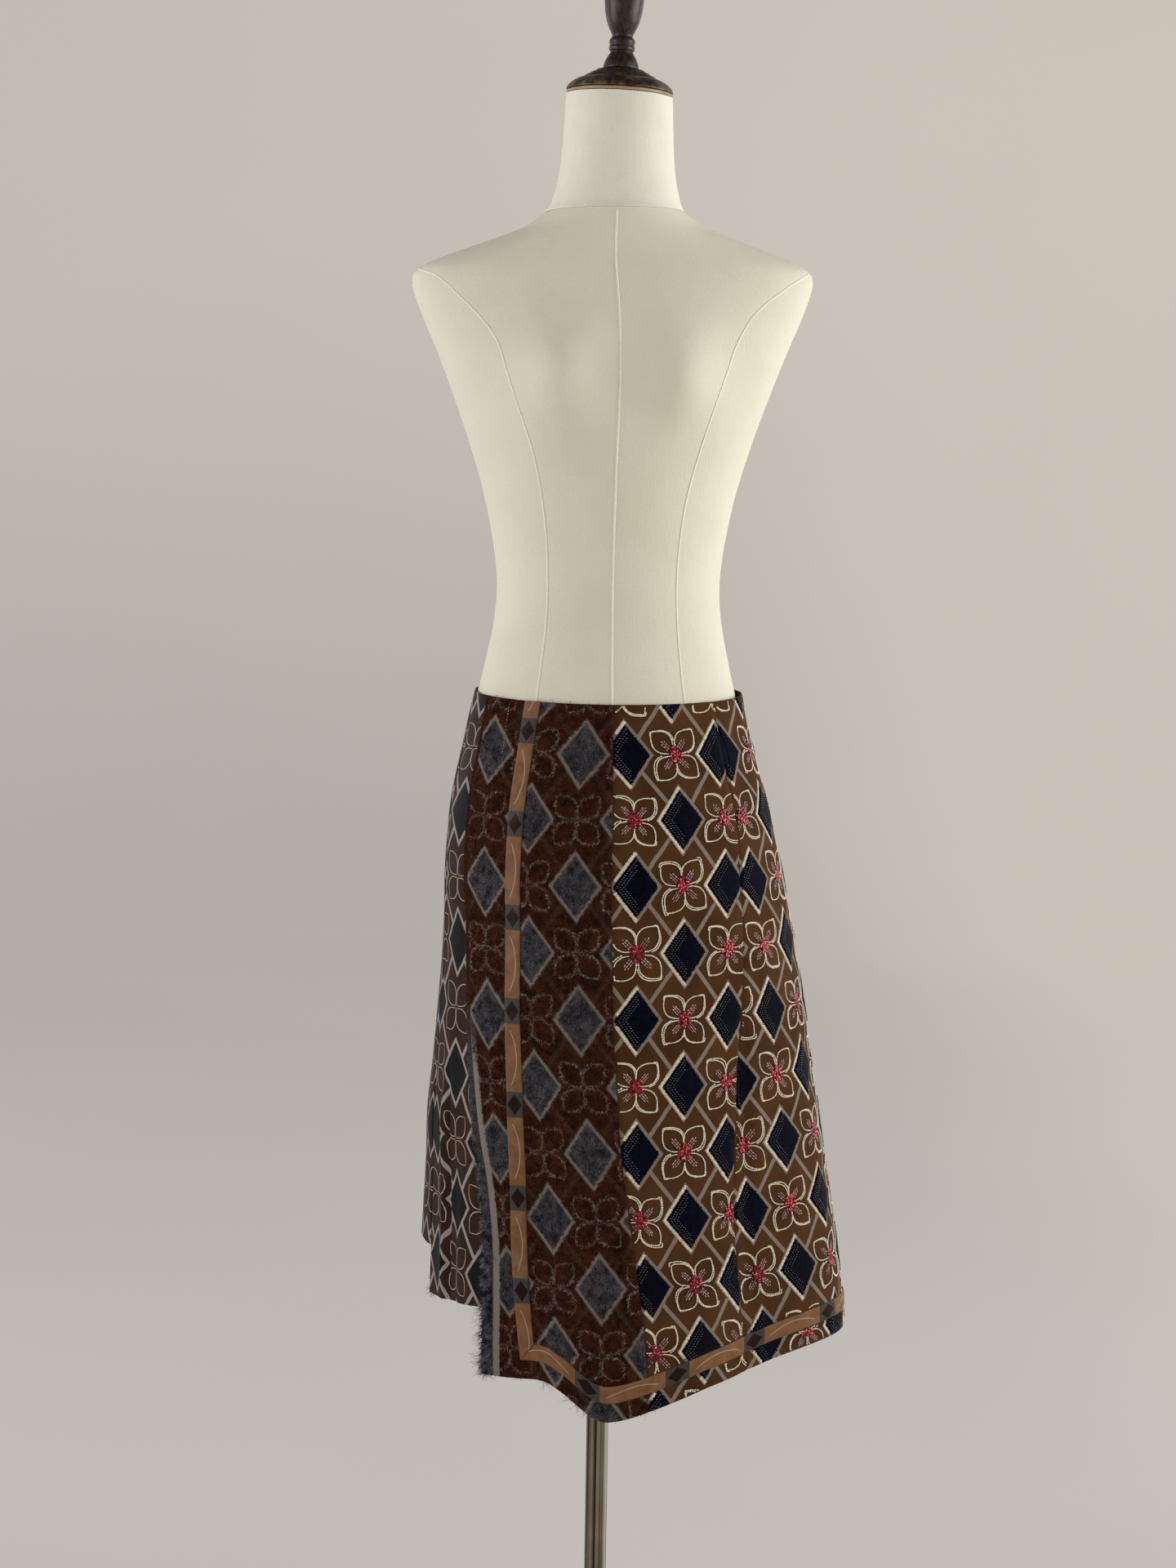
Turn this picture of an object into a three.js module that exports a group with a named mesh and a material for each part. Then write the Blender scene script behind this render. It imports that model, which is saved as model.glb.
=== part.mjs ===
// A lapped midi skirt with a pointed, uneven hem, worn by a limbless dress form on a steel pole.
// Millimetres, +Z up. The origin is the centre of the base on the floor, and the skirt's front faces -Y.
// An angle is measured round the form in degrees: 0 at centre front, 90 at the right as it is
// seen from the front, -90 at the left and 180 at centre back.
import * as THREE from "three";

// Driving sizes of the skirt
const wall = 1.6; // thickness of each cloth
const seamGap = 0.4; // between two panels that are sewn edge to edge
const layerGap = 0.8; // between the lap and the cloth under it
const waistFront = 970; // height of the waist edge at centre front
const waistSide = 977;
const foldTop = 800; // the folds start below the hip
const foldBottom = 340; // and are at their deepest here
const bandWidth = 16; // the satin band down the lap and round the hem
const bandMargin = 18; // from the hem up to the band
const bandThickness = 1;
const bandGap = 0.4; // from the panel out to the band
const mitreTip = 0.6; // height of the narrow end of the hem band at the mitre
const mitreGap = 0.5;
const lapUnder = 9; // degrees of cloth that lie under the lap
const panelRows = 18;
const rowSpread = 1.25; // the rows stand closer at the hip than at the hem

// Driving sizes of the dress form and its stand
const bodyShift = -2.8; // the padded body, and the skirt on it, sit a little to the left of the pole
const shoulderRise = 0.018; // the shoulders climb to the right by this slope
const formBottom = 790;
const neckSeam = 1441;
const neckTop = 1551;
const neckLean = 2; // degrees that the top of the neck tips to the right
const formColumns = 44;
const ringStep = 26; // the most between two rings of the form
const bust = { across: 60, height: 1284, spread: 36, rise: 44, depth: 19 };
const poleRadius = 11;
const baseRadius = 170;
const baseHeight = 14;
const hubTop = 34;
const fitGap = 0.3; // between the hard pieces of the stand

// The form's sections: half width, and depth to the front and to the back
const formSections = [
  { z: 790, half: 142, front: 98, back: 118 },
  { z: 805, half: 148, front: 104, back: 126 },
  { z: 850, half: 150, front: 110, back: 130 },
  { z: 875, half: 147.6, front: 110.4, back: 127.6 },
  { z: 900, half: 143.6, front: 106.5, back: 122.4 },
  { z: 925, half: 138.2, front: 101.6, back: 115.1 },
  { z: 950, half: 132.8, front: 96.4, back: 106.6 },
  { z: 975, half: 126, front: 92.2, back: 98.4 },
  { z: 1000, half: 120, front: 88, back: 92 },
  { z: 1045, half: 111, front: 84, back: 85 },
  { z: 1080, half: 108.5, front: 82, back: 83 },
  { z: 1117, half: 112, front: 83, back: 84 },
  { z: 1165, half: 121.5, front: 87, back: 87 },
  { z: 1213, half: 135.5, front: 90, back: 91 },
  { z: 1260, half: 152, front: 92, back: 94 },
  { z: 1307, half: 170, front: 91, back: 95 },
  { z: 1340, half: 184, front: 86, back: 94 },
  { z: 1362, half: 192, front: 80, back: 91 },
  { z: 1376, half: 194.5, front: 76, back: 87 },
  { z: 1386, half: 188.5, front: 73, back: 83 },
  { z: 1396, half: 168, front: 70, back: 79 },
  { z: 1410, half: 130, front: 67, back: 75 },
  { z: 1425, half: 90, front: 65, back: 70 },
  { z: 1441, half: 66.5, front: 62, back: 65 },
];

// The neck, which stands a little to the right of the body
const neckSections = [
  { z: 1441.3, half: 66.5, front: 62, back: 65, shift: -2.8 },
  { z: 1450, half: 62.5, front: 58, back: 60, shift: -1.8 },
  { z: 1472, half: 57, front: 54, back: 54, shift: -1.2 },
  { z: 1500, half: 54, front: 52, back: 52, shift: -0.6 },
  { z: 1551, half: 51.4, front: 50.8, back: 50.8, shift: 0 },
];

// The skirt's outer face: reach to each side, to the front and to the back
const skirtSections = [
  { z: 290, left: 168, right: 250, front: 178, back: 197 },
  { z: 360, left: 170, right: 248, front: 174, back: 192 },
  { z: 410, left: 170, right: 242.5, front: 171, back: 188 },
  { z: 460, left: 168.5, right: 235.5, front: 167, back: 183 },
  { z: 510, left: 167.5, right: 227, front: 163, back: 178 },
  { z: 560, left: 168, right: 219, front: 159, back: 173 },
  { z: 610, left: 164.5, right: 209.5, front: 154, back: 168 },
  { z: 658, left: 161.5, right: 202, front: 149, back: 163 },
  { z: 707, left: 158, right: 194, front: 143, back: 157 },
  { z: 755, left: 156.5, right: 185.5, front: 136, back: 151 },
  { z: 804, left: 157, right: 175, front: 128, back: 144 },
  { z: 853, left: 153.5, right: 164.5, front: 119, back: 136 },
  { z: 877, left: 150.5, right: 158.5, front: 114, back: 131 },
  { z: 900, left: 146, right: 151, front: 109, back: 125 },
  { z: 925, left: 140.5, right: 144, front: 104, back: 117.5 },
  { z: 950, left: 135.5, right: 138, front: 98.8, back: 109 },
  { z: 985, left: 127.5, right: 131.5, front: 92.9, back: 98 },
];

// Heights of the two hems: the front one runs from the lap round the right side to centre back
const frontHem = [
  { angle: -70, height: 331 },
  { angle: -44, height: 331 },
  { angle: -31, height: 331 },
  { angle: -21, height: 330.5 },
  { angle: -15, height: 322 },
  { angle: -10, height: 311.5 },
  { angle: -4, height: 300.5 },
  { angle: 1, height: 299.5 },
  { angle: 8, height: 306 },
  { angle: 16, height: 316.5 },
  { angle: 23, height: 325.5 },
  { angle: 36, height: 335 },
  { angle: 52, height: 349 },
  { angle: 66, height: 354 },
  { angle: 90, height: 348 },
  { angle: 120, height: 352 },
  { angle: 150, height: 368 },
  { angle: 180, height: 388 },
];
const backHem = [
  { angle: -180, height: 388 },
  { angle: -150, height: 404 },
  { angle: -120, height: 424 },
  { angle: -104, height: 430 },
  { angle: -84, height: 429 },
];
const sideHem = [
  { angle: -90, height: 380 },
  { angle: -68, height: 386 },
  { angle: -46, height: 394 },
  { angle: -30, height: 397 },
];

// Where the seams and edges run, as angles at each height
const seams = [
  { z: 290, lap: -43.7, band: -28.5, centre: 8.4, sideFront: 35.5 },
  { z: 350, lap: -43.6, band: -30.6, centre: 7.6, sideFront: 34.5 },
  { z: 400, lap: -43.3, band: -32.4, centre: 6.7, sideFront: 33.3 },
  { z: 455, lap: -43.8, band: -34, centre: 4.9, sideFront: 32.4 },
  { z: 500, lap: -45.5, band: -34.6, centre: 3.4, sideFront: 32.6 },
  { z: 555, lap: -48.8, band: -35.4, centre: 1.8, sideFront: 34.2 },
  { z: 640, lap: -55.4, band: -38, centre: 0.2, sideFront: 37.8 },
  { z: 700, lap: -58.8, band: -39.7, centre: -0.6, sideFront: 41 },
  { z: 785, lap: -61.4, band: -40.4, centre: -1.2, sideFront: 44.5 },
  { z: 862, lap: -63, band: -40.6, centre: -0.9, sideFront: 47.6 },
  { z: 975, lap: -64.1, band: -40, centre: -0.4, sideFront: 47.7 },
];
const leftSeam = -84;
const rightSeam = 97;

// Vertical folds: a ridge stands out and a valley goes in, by depth at the hem
const folds = [
  { angle: -160, spread: 13, depth: -10 },
  { angle: -132, spread: 12, depth: 8 },
  { angle: -102, spread: 12, depth: 9 },
  { angle: -77, spread: 9, depth: -4 },
  { angle: -62, spread: 6, depth: -6 },
  { angle: -48, spread: 9, depth: 4 },
  { angle: -26, spread: 9, depth: -7 },
  { angle: -3, spread: 11, depth: 9 },
  { angle: 38, spread: 11, depth: -13 },
  { angle: 64, spread: 11, depth: 5 },
  { angle: 112, spread: 13, depth: -12 },
  { angle: 140, spread: 12, depth: 10 },
  { angle: 167, spread: 11, depth: -6 },
];

// The grey pile edge of the lap widens from the waist to the hem
const pileEdge = [
  { z: 290, width: 13 },
  { z: 480, width: 10 },
  { z: 660, width: 7 },
  { z: 985, width: 4 },
];

const degrees = Math.PI / 180;
const mix = THREE.MathUtils.lerp;
const smooth = THREE.MathUtils.smoothstep;

// A smooth value from one column of a table whose rows rise in the column named by key
function read(table, key, at, column) {
  const last = table.length - 1;
  let i = 0;
  while (i < last - 1 && at > table[i + 1][key]) i += 1;
  const slope = (j) => {
    const a = table[Math.max(j - 1, 0)];
    const b = table[Math.min(j + 1, last)];
    return (b[column] - a[column]) / (b[key] - a[key]);
  };
  const span = table[i + 1][key] - table[i][key];
  const t = THREE.MathUtils.clamp((at - table[i][key]) / span, 0, 1);
  const start = table[i][column];
  const end = table[i + 1][column];
  return (
    start * (1 + 2 * t) * (1 - t) ** 2 +
    end * t * t * (3 - 2 * t) +
    span * t * (1 - t) * (slope(i) * (1 - t) - slope(i + 1) * t)
  );
}

// The skirt's outer face

function foldDepth(angle, z) {
  const growth = 1 - smooth(z, foldBottom, foldTop);
  const raised = folds.map((fold) => {
    let away = Math.abs(angle - fold.angle);
    away = Math.min(away, 360 - away);
    return fold.depth * Math.exp(-((away / fold.spread) ** 2));
  });
  return growth * raised.reduce((sum, value) => sum + value, 0);
}

function skirtFace(angle, z) {
  const across = read(skirtSections, "z", z, angle < 0 ? "left" : "right");
  const depth = read(skirtSections, "z", z, Math.abs(angle) < 90 ? "front" : "back");
  const out = foldDepth(angle, z);
  const sin = Math.sin(angle * degrees);
  const cos = Math.cos(angle * degrees);
  return new THREE.Vector3(bodyShift + (across + out) * sin, -(depth + out) * cos, z);
}

// The lap lies over the cloth of the side, and comes back to the skirt's face towards the front
function lapLift(angle, z) {
  const inside = angle - read(seams, "z", z, "lap");
  return (wall + layerGap) * (1 - smooth(inside, lapUnder + 1, lapUnder + 15));
}

function skirtNormal(angle, z) {
  const turn = 0.5;
  const rise = 2;
  const along = skirtFace(angle + turn, z).sub(skirtFace(angle - turn, z));
  const up = skirtFace(angle, z + rise).sub(skirtFace(angle, z - rise));
  return along.cross(up).normalize();
}

function skirtPoint(angle, z, out) {
  return skirtFace(angle, z).addScaledVector(skirtNormal(angle, z), out);
}

function waistHeight(angle) {
  return waistSide - (waistSide - waistFront) * Math.cos(angle * degrees);
}

// Millimetres along the cloth for each degree round it
function reachPerDegree(angle, z) {
  return skirtFace(angle + 0.5, z).distanceTo(skirtFace(angle - 0.5, z));
}

// Closed bodies made from grids of points

function closedMesh(name, points, faces, material) {
  const geometry = new THREE.BufferGeometry();
  geometry.setAttribute("position", new THREE.Float32BufferAttribute(points, 3));
  geometry.setIndex(faces);
  geometry.computeVertexNormals();
  const mesh = new THREE.Mesh(geometry, material);
  mesh.name = name;
  return mesh;
}

// A wall of cloth between two grids of points, each a list of rows from top to bottom whose
// points run from left to right as they are seen from outside
function clothWall(name, material, outer, inner) {
  const rows = outer.length - 1;
  const columns = outer[0].length - 1;
  const wide = columns + 1;
  const back = wide * (rows + 1);
  const points = [...outer.flat(), ...inner.flat()].flatMap((point) => point.toArray());
  const faces = [];
  const quad = (a, b, c, d) => faces.push(a, b, c, a, c, d);
  for (let j = 0; j < rows; j += 1) {
    for (let i = 0; i < columns; i += 1) {
      const a = j * wide + i;
      quad(a, a + wide, a + wide + 1, a + 1);
      quad(back + a, back + a + 1, back + a + wide + 1, back + a + wide);
    }
  }
  for (let i = 0; i < columns; i += 1) {
    const low = rows * wide + i;
    quad(i, i + 1, back + i + 1, back + i);
    quad(low, back + low, back + low + 1, low + 1);
  }
  for (let j = 0; j < rows; j += 1) {
    const left = j * wide;
    const right = left + columns;
    quad(left, back + left, back + left + wide, left + wide);
    quad(right, right + wide, back + right + wide, back + right);
  }
  return closedMesh(name, points, faces, material);
}

// The grid of a panel's outer face, from the waist to a hem. Its stops are lines that wander with
// height, and each but the first says how many columns lie between it and the stop before.
// Every place in the grid has its point and the way out from the cloth.
function panelGrid(stops, hem, lift = () => 0) {
  const columns = [(z) => stops[0].line(z)];
  for (let k = 1; k < stops.length; k += 1) {
    for (let i = 1; i <= stops[k].columns; i += 1) {
      columns.push((z) => mix(stops[k - 1].line(z), stops[k].line(z), i / stops[k].columns));
    }
  }
  const place = (column, v) => {
    let z = waistSide;
    let angle = column(z);
    for (let pass = 0; pass < 8; pass += 1) {
      z = mix(waistHeight(angle), read(hem, "angle", angle, "height"), v);
      angle = column(z);
    }
    const out = skirtNormal(angle, z);
    return { point: skirtFace(angle, z).addScaledVector(out, lift(angle, z)), out };
  };
  const grid = [];
  for (let j = 0; j <= panelRows; j += 1) {
    const v = (j / panelRows) ** rowSpread;
    grid.push(columns.map((column) => place(column, v)));
  }
  return grid;
}

const moved = ({ point, out }, distance) => point.clone().addScaledVector(out, distance);

function panel(name, material, grid) {
  const face = (depth) => grid.map((row) => row.map((place) => moved(place, -depth)));
  return clothWall(name, material, face(0), face(wall));
}

// A line given by a column of the seam table, set over along the cloth by some millimetres
function seamLine(column, over = 0) {
  return (z) => {
    const angle = read(seams, "z", z, column);
    return angle + over / reachPerDegree(angle, z);
  };
}

const uprightLine = (angle, over = 0) => (z) => angle + over / reachPerDegree(angle, z);
const pileLine = (over) => (z) => seamLine("lap", read(pileEdge, "z", z, "width") + over)(z);

// The cloths
const cloth = (colour, roughness) =>
  new THREE.MeshStandardMaterial({ color: colour, roughness, metalness: 0, side: THREE.DoubleSide });
const brownPile = cloth(0x3a2116, 0.95);
const greyPile = cloth(0x5a5a60, 0.95);
const embroidered = cloth(0x5b3a1e, 0.8);
const printedSatin = cloth(0x3b2620, 0.45);
const satinBand = cloth(0xa87e60, 0.4);
const formCanvas = cloth(0xd8d0b8, 0.85);

const halfGap = seamGap / 2;
const bandStart = 7; // columns of the lap from its pile edge to the band
const bandColumns = 2;

const pileGrid = panelGrid([
  { line: seamLine("lap") },
  { line: pileLine(-halfGap), columns: 2 },
], frontHem, lapLift);
const lapGrid = panelGrid([
  { line: pileLine(halfGap) },
  { line: seamLine("band"), columns: bandStart },
  { line: seamLine("band", bandWidth), columns: bandColumns },
  { line: seamLine("centre", -halfGap), columns: 9 },
], frontHem, lapLift);
const frontGrid = panelGrid([
  { line: seamLine("centre", halfGap) },
  { line: seamLine("sideFront", -halfGap), columns: 12 },
], frontHem);
const sideGrid = panelGrid([
  { line: seamLine("sideFront", halfGap) },
  { line: uprightLine(rightSeam, -halfGap), columns: 13 },
], frontHem);
const backRightGrid = panelGrid([
  { line: uprightLine(rightSeam, halfGap) },
  { line: uprightLine(180, -halfGap), columns: 17 },
], frontHem);
const backLeftGrid = panelGrid([
  { line: uprightLine(-180, halfGap) },
  { line: uprightLine(leftSeam, -halfGap), columns: 18 },
], backHem);
const underGrid = panelGrid([
  { line: uprightLine(leftSeam, halfGap) },
  { line: (z) => seamLine("lap")(z) + lapUnder, columns: 9 },
], sideHem);

function skirtPanels() {
  return [
    panel("side_pile_edge", greyPile, pileGrid),
    panel("front_lap_panel", brownPile, lapGrid),
    panel("front_right_panel", embroidered, frontGrid),
    panel("side_right_panel", embroidered, sideGrid),
    panel("back_right_panel", printedSatin, backRightGrid),
    panel("back_left_panel", printedSatin, backLeftGrid),
    panel("side_left_panel", printedSatin, underGrid),
  ];
}

// A place on a column of a panel, by its distance along the cloth up from the hem
function aboveHem(grid, column, distance) {
  let row = grid.length - 1;
  let left = distance;
  let step = grid[row][column].point.distanceTo(grid[row - 1][column].point);
  while (left > step) {
    left -= step;
    row -= 1;
    step = grid[row][column].point.distanceTo(grid[row - 1][column].point);
  }
  const low = grid[row][column];
  const high = grid[row - 1][column];
  return {
    point: low.point.clone().lerp(high.point, left / step),
    out: low.out.clone().lerp(high.out, left / step).normalize(),
  };
}

// The satin band is made from the panels' own points, moved out. It comes down the lap and
// turns along the hem with a mitre.
const liftedBand = (name, rows) => {
  const face = (out) => rows.map((row) => row.map((place) => moved(place, bandGap + out)));
  return clothWall(name, satinBand, face(bandThickness), face(0));
};

const mitreHeight = (column) => bandMargin + (bandWidth * (column - bandStart)) / bandColumns;

function lapBand() {
  const columns = [];
  for (let i = 0; i <= bandColumns; i += 1) columns.push(bandStart + i);
  const above = lapGrid.slice(0, -1).map((row) => columns.map((i) => row[i]));
  const foot = columns.map((i) => aboveHem(lapGrid, i, mitreHeight(i) + mitreTip + mitreGap));
  return liftedBand("lap_band", [...above, foot]);
}

function hemBand() {
  const path = [];
  const first = bandStart;
  for (let i = first; i < lapGrid[0].length; i += 1) path.push({ grid: lapGrid, column: i });
  for (const grid of [frontGrid, sideGrid]) {
    for (let i = 1; i < grid[0].length; i += 1) path.push({ grid, column: i });
  }
  const low = path.map(({ grid, column }) => aboveHem(grid, column, bandMargin));
  const high = path.map(({ grid, column }, i) => {
    return aboveHem(grid, column, i < bandColumns ? mitreHeight(column) + mitreTip : bandMargin + bandWidth);
  });
  return liftedBand("hem_band", [high, low]);
}

// The dress form

// A solid of rings, closed at both ends by a point at the middle of the ring
function ringSolid(name, material, columns, rings) {
  const points = [];
  const faces = [];
  for (const ring of rings) {
    for (let i = 0; i < columns; i += 1) points.push(...ring((360 * i) / columns).toArray());
  }
  const ringCount = rings.length;
  for (let j = 0; j < ringCount - 1; j += 1) {
    for (let i = 0; i < columns; i += 1) {
      const a = j * columns + i;
      const b = j * columns + ((i + 1) % columns);
      faces.push(a, b, b + columns, a, b + columns, a + columns);
    }
  }
  const top = (ringCount - 1) * columns;
  const middle = (first) => {
    const sum = new THREE.Vector3();
    for (let i = 0; i < columns; i += 1) sum.add(new THREE.Vector3().fromArray(points, (first + i) * 3));
    return sum.divideScalar(columns);
  };
  const low = points.length / 3;
  points.push(...middle(0).toArray(), ...middle(top).toArray());
  for (let i = 0; i < columns; i += 1) {
    const next = (i + 1) % columns;
    faces.push(low, next, i, low + 1, top + i, top + next);
  }
  return closedMesh(name, points, faces, material);
}

// Heights of the rings: each row of a table, with more between rows that are far apart
function ringHeights(table) {
  const heights = [table[0].z];
  for (let i = 1; i < table.length; i += 1) {
    const steps = Math.ceil((table[i].z - table[i - 1].z) / ringStep);
    for (let k = 1; k <= steps; k += 1) heights.push(mix(table[i - 1].z, table[i].z, k / steps));
  }
  return heights;
}

function bustDepth(x, z) {
  const rise = ((z - bust.height) / bust.rise) ** 2;
  const left = ((x + bust.across) / bust.spread) ** 2;
  const right = ((x - bust.across) / bust.spread) ** 2;
  return bust.depth * (Math.exp(-left - rise) + Math.exp(-right - rise));
}

function shoulderClimb(x, z) {
  return x * shoulderRise * smooth(z, bust.height, neckSeam);
}

function torso() {
  const rings = ringHeights(formSections).map((z) => (angle) => {
    const cos = Math.cos(angle * degrees);
    const x = read(formSections, "z", z, "half") * Math.sin(angle * degrees);
    const depth = read(formSections, "z", z, cos > 0 ? "front" : "back") * cos;
    const chest = cos > 0 ? bustDepth(x, z) * Math.min(1, 3 * cos) : 0;
    return new THREE.Vector3(bodyShift + x, -depth - chest, z + shoulderClimb(x, z));
  });
  return ringSolid("form_torso", formCanvas, formColumns, rings);
}

function neck() {
  const rings = ringHeights(neckSections).map((z) => (angle) => {
    const cos = Math.cos(angle * degrees);
    const x = read(neckSections, "z", z, "half") * Math.sin(angle * degrees);
    const depth = read(neckSections, "z", z, cos > 0 ? "front" : "back") * cos;
    const foot = 1 - smooth(z, neckSeam, neckTop - ringStep);
    const tip = smooth(z, neckTop - ringStep, neckTop);
    const slope = shoulderRise * foot - Math.tan(neckLean * degrees) * tip;
    return new THREE.Vector3(x + read(neckSections, "z", z, "shift"), -depth, z + x * slope);
  });
  return ringSolid("form_neck", formCanvas, 32, rings);
}

// A turned piece from its outline of [radius, height], bottom to top, closed on the axis
function turned(name, material, outline, segments) {
  const points = outline.map(([radius, height]) => new THREE.Vector2(radius, height));
  const mesh = new THREE.Mesh(new THREE.LatheGeometry(points, segments), material);
  mesh.geometry.rotateX(Math.PI / 2);
  mesh.name = name;
  return mesh;
}

const darkWood = new THREE.MeshStandardMaterial({ color: 0x2e231b, roughness: 0.4, metalness: 0 });
const steel = new THREE.MeshStandardMaterial({ color: 0x9a948a, roughness: 0.25, metalness: 1 });

const capHeight = 25;
const capOutline = [
  [0, 0], [50.6, 0], [51.6, 3], [52, 4.5], [50, 7.6], [46.4, 11.3], [41, 15.2], [34, 18],
  [31.4, 18.8], [27, 21.6], [22, 24.2], [20, capHeight], [0, capHeight],
];
const finialOutline = [
  [0, 0], [17.3, 0], [17.2, 2], [16, 6.5], [13.8, 11.2], [10.6, 16.2], [12.4, 18],
  [12.6, 20.6], [11.6, 22.6], [12.6, 25], [12.2, 28], [9.4, 31], [12.4, 36.8], [15.6, 44],
  [17.7, 53], [18.7, 62], [19, 68.6], [20.4, 69.6], [20.4, 71.8], [17, 74.5], [12, 76.5], [10, 79],
  [12.5, 84], [11.5, 90], [7, 94.5], [0, 96],
];

// The cap sits on the slightly leaning neck
function neckCap() {
  const group = new THREE.Group();
  group.position.set(neckSections.at(-1).shift, 0, neckTop + fitGap);
  group.rotation.y = neckLean * degrees;
  const cap = turned("neck_cap", darkWood, capOutline, 36);
  const finial = turned("finial", darkWood, finialOutline, 20);
  finial.position.z = capHeight + fitGap;
  group.add(cap, finial);
  return group;
}

function stand() {
  const group = new THREE.Group();
  const base = turned("base", steel, [
    [0, 0], [baseRadius - 2, 0], [baseRadius, 2], [baseRadius, baseHeight - 3], [baseRadius - 3, baseHeight],
    [26, baseHeight + 4], [20, hubTop - 3], [17, hubTop], [0, hubTop],
  ], 48);
  const flangeLow = formBottom - 26;
  const pole = turned("pole", steel, [
    [0, hubTop + fitGap], [poleRadius, hubTop + fitGap],
    [poleRadius, flangeLow - fitGap], [0, flangeLow - fitGap],
  ], 28);
  const flange = turned("pole_flange", steel, [
    [0, flangeLow], [16, flangeLow], [16, formBottom - 6], [42, formBottom - 5],
    [42, formBottom - fitGap], [0, formBottom - fitGap],
  ], 28);
  group.add(base, pole, flange);
  return group;
}

const part = new THREE.Group();
part.add(...skirtPanels(), lapBand(), hemBand(), torso(), neck(), neckCap(), stand());

export default part;
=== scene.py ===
import bpy
import math
import numpy as np
from mathutils import Matrix


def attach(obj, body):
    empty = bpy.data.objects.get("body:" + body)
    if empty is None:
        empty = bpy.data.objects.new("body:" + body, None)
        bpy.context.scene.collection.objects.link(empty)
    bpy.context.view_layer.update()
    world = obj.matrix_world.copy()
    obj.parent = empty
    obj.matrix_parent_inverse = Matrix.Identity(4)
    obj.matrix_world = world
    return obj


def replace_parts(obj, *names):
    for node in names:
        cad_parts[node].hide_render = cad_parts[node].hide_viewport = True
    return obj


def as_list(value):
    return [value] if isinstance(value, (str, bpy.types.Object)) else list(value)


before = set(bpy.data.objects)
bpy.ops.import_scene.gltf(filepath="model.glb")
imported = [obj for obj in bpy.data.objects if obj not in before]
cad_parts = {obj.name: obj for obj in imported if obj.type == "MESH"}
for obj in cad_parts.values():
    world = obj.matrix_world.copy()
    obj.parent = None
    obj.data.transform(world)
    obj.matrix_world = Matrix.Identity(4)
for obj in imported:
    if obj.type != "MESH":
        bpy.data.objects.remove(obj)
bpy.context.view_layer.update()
mm = 0.001
print("frame loaded")


def unit(vectors):
    return vectors / np.linalg.norm(vectors, axis=-1, keepdims=True)


def axes(side, up, back, place):
    return Matrix([[side[i], up[i], back[i], place[i]] for i in range(3)] + [[0, 0, 0, 1]])


def linked(name, data):
    made = bpy.data.objects.new(name, data)
    bpy.context.collection.objects.link(made)
    return made


# camera, at the height and angle of the photograph

cameraView = {
    "distance": 3.0,
    "height": 1.165,
    "azimuth": -4.5,
    "pitch": 5.33,
    "roll": 0.92,
    "aside": -0.0197,
    "lens": 70.3,
}


def makeCamera(view):
    turn, dip, roll = (math.radians(view[key]) for key in ("azimuth", "pitch", "roll"))
    right = np.array([math.cos(turn), math.sin(turn), 0])
    ahead = np.array([-math.sin(turn), math.cos(turn), 0])
    place = -ahead * view["distance"] + right * view["aside"] + [0, 0, view["height"]]
    look = ahead * math.cos(dip) + [0, 0, -math.sin(dip)]
    above = np.cross(right, look)
    side = right * math.cos(roll) + above * math.sin(roll)
    above = above * math.cos(roll) - right * math.sin(roll)
    data = bpy.data.cameras.new("camera")
    data.lens, data.sensor_width, data.sensor_fit = view["lens"], 36, "AUTO"
    data.clip_start, data.clip_end = 0.1, 30
    camera = linked("camera", data)
    camera.matrix_world = axes(side, above, -look, place)
    bpy.context.scene.camera = camera


makeCamera(cameraView)

# light and stage

studio = {
    "sky": (0.97, 0.97, 1.0),
    "skyStrength": 0.13,
    "lamps": [
        # name, place, aimed at, size, watts, colour, degrees of spread
        ("windowLeft", (-2.6, -0.65, 1.5), (0, 0, 1.15), 1.8, 20.5, (0.985, 0.985, 1.02), 120),
        ("windowRight", (2.6, -0.55, 1.55), (0, 0, 1.2), 1.8, 30, (0.99, 0.985, 1.01), 120),
        ("backLeft", (-2.5, 2.3, 1.3), (0, 0, 0.95), 1.2, 8, (1.0, 0.99, 0.97), 180),
        ("backRight", (2.5, 2.3, 1.3), (0, 0, 0.95), 1.2, 8, (1.0, 0.985, 0.96), 180),
        ("softFront", (0.4, -3.8, 1.3), (0, 0, 0.9), 2.2, 2.5, (1.0, 0.95, 0.84), 180),
    ],
    "round": {"floor": 5.2, "wall": 7.6, "height": 6.5, "steps": 16, "segments": 96},
}


def aimed(place, target):
    back = unit(np.array(place, float) - target)
    side = unit(np.cross([0, 0, 1], back))
    return axes(side, np.cross(back, side), back, place)


for lampName, place, target, size, watts, colour, spread in studio["lamps"]:
    data = bpy.data.lights.new(lampName, "AREA")
    data.shape, data.size, data.energy, data.color = "SQUARE", size, watts, colour
    data.spread = math.radians(spread)
    linked(lampName, data).matrix_world = aimed(place, target)

world = bpy.data.worlds.new("studioSky")
bpy.context.scene.world = world
world.use_nodes = True
sky = world.node_tree.nodes["Background"]
sky.inputs["Color"].default_value = (*studio["sky"], 1)
sky.inputs["Strength"].default_value = studio["skyStrength"]
bpy.context.scene.view_settings.view_transform = "Standard"
print("camera and light made")

# materials


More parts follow.
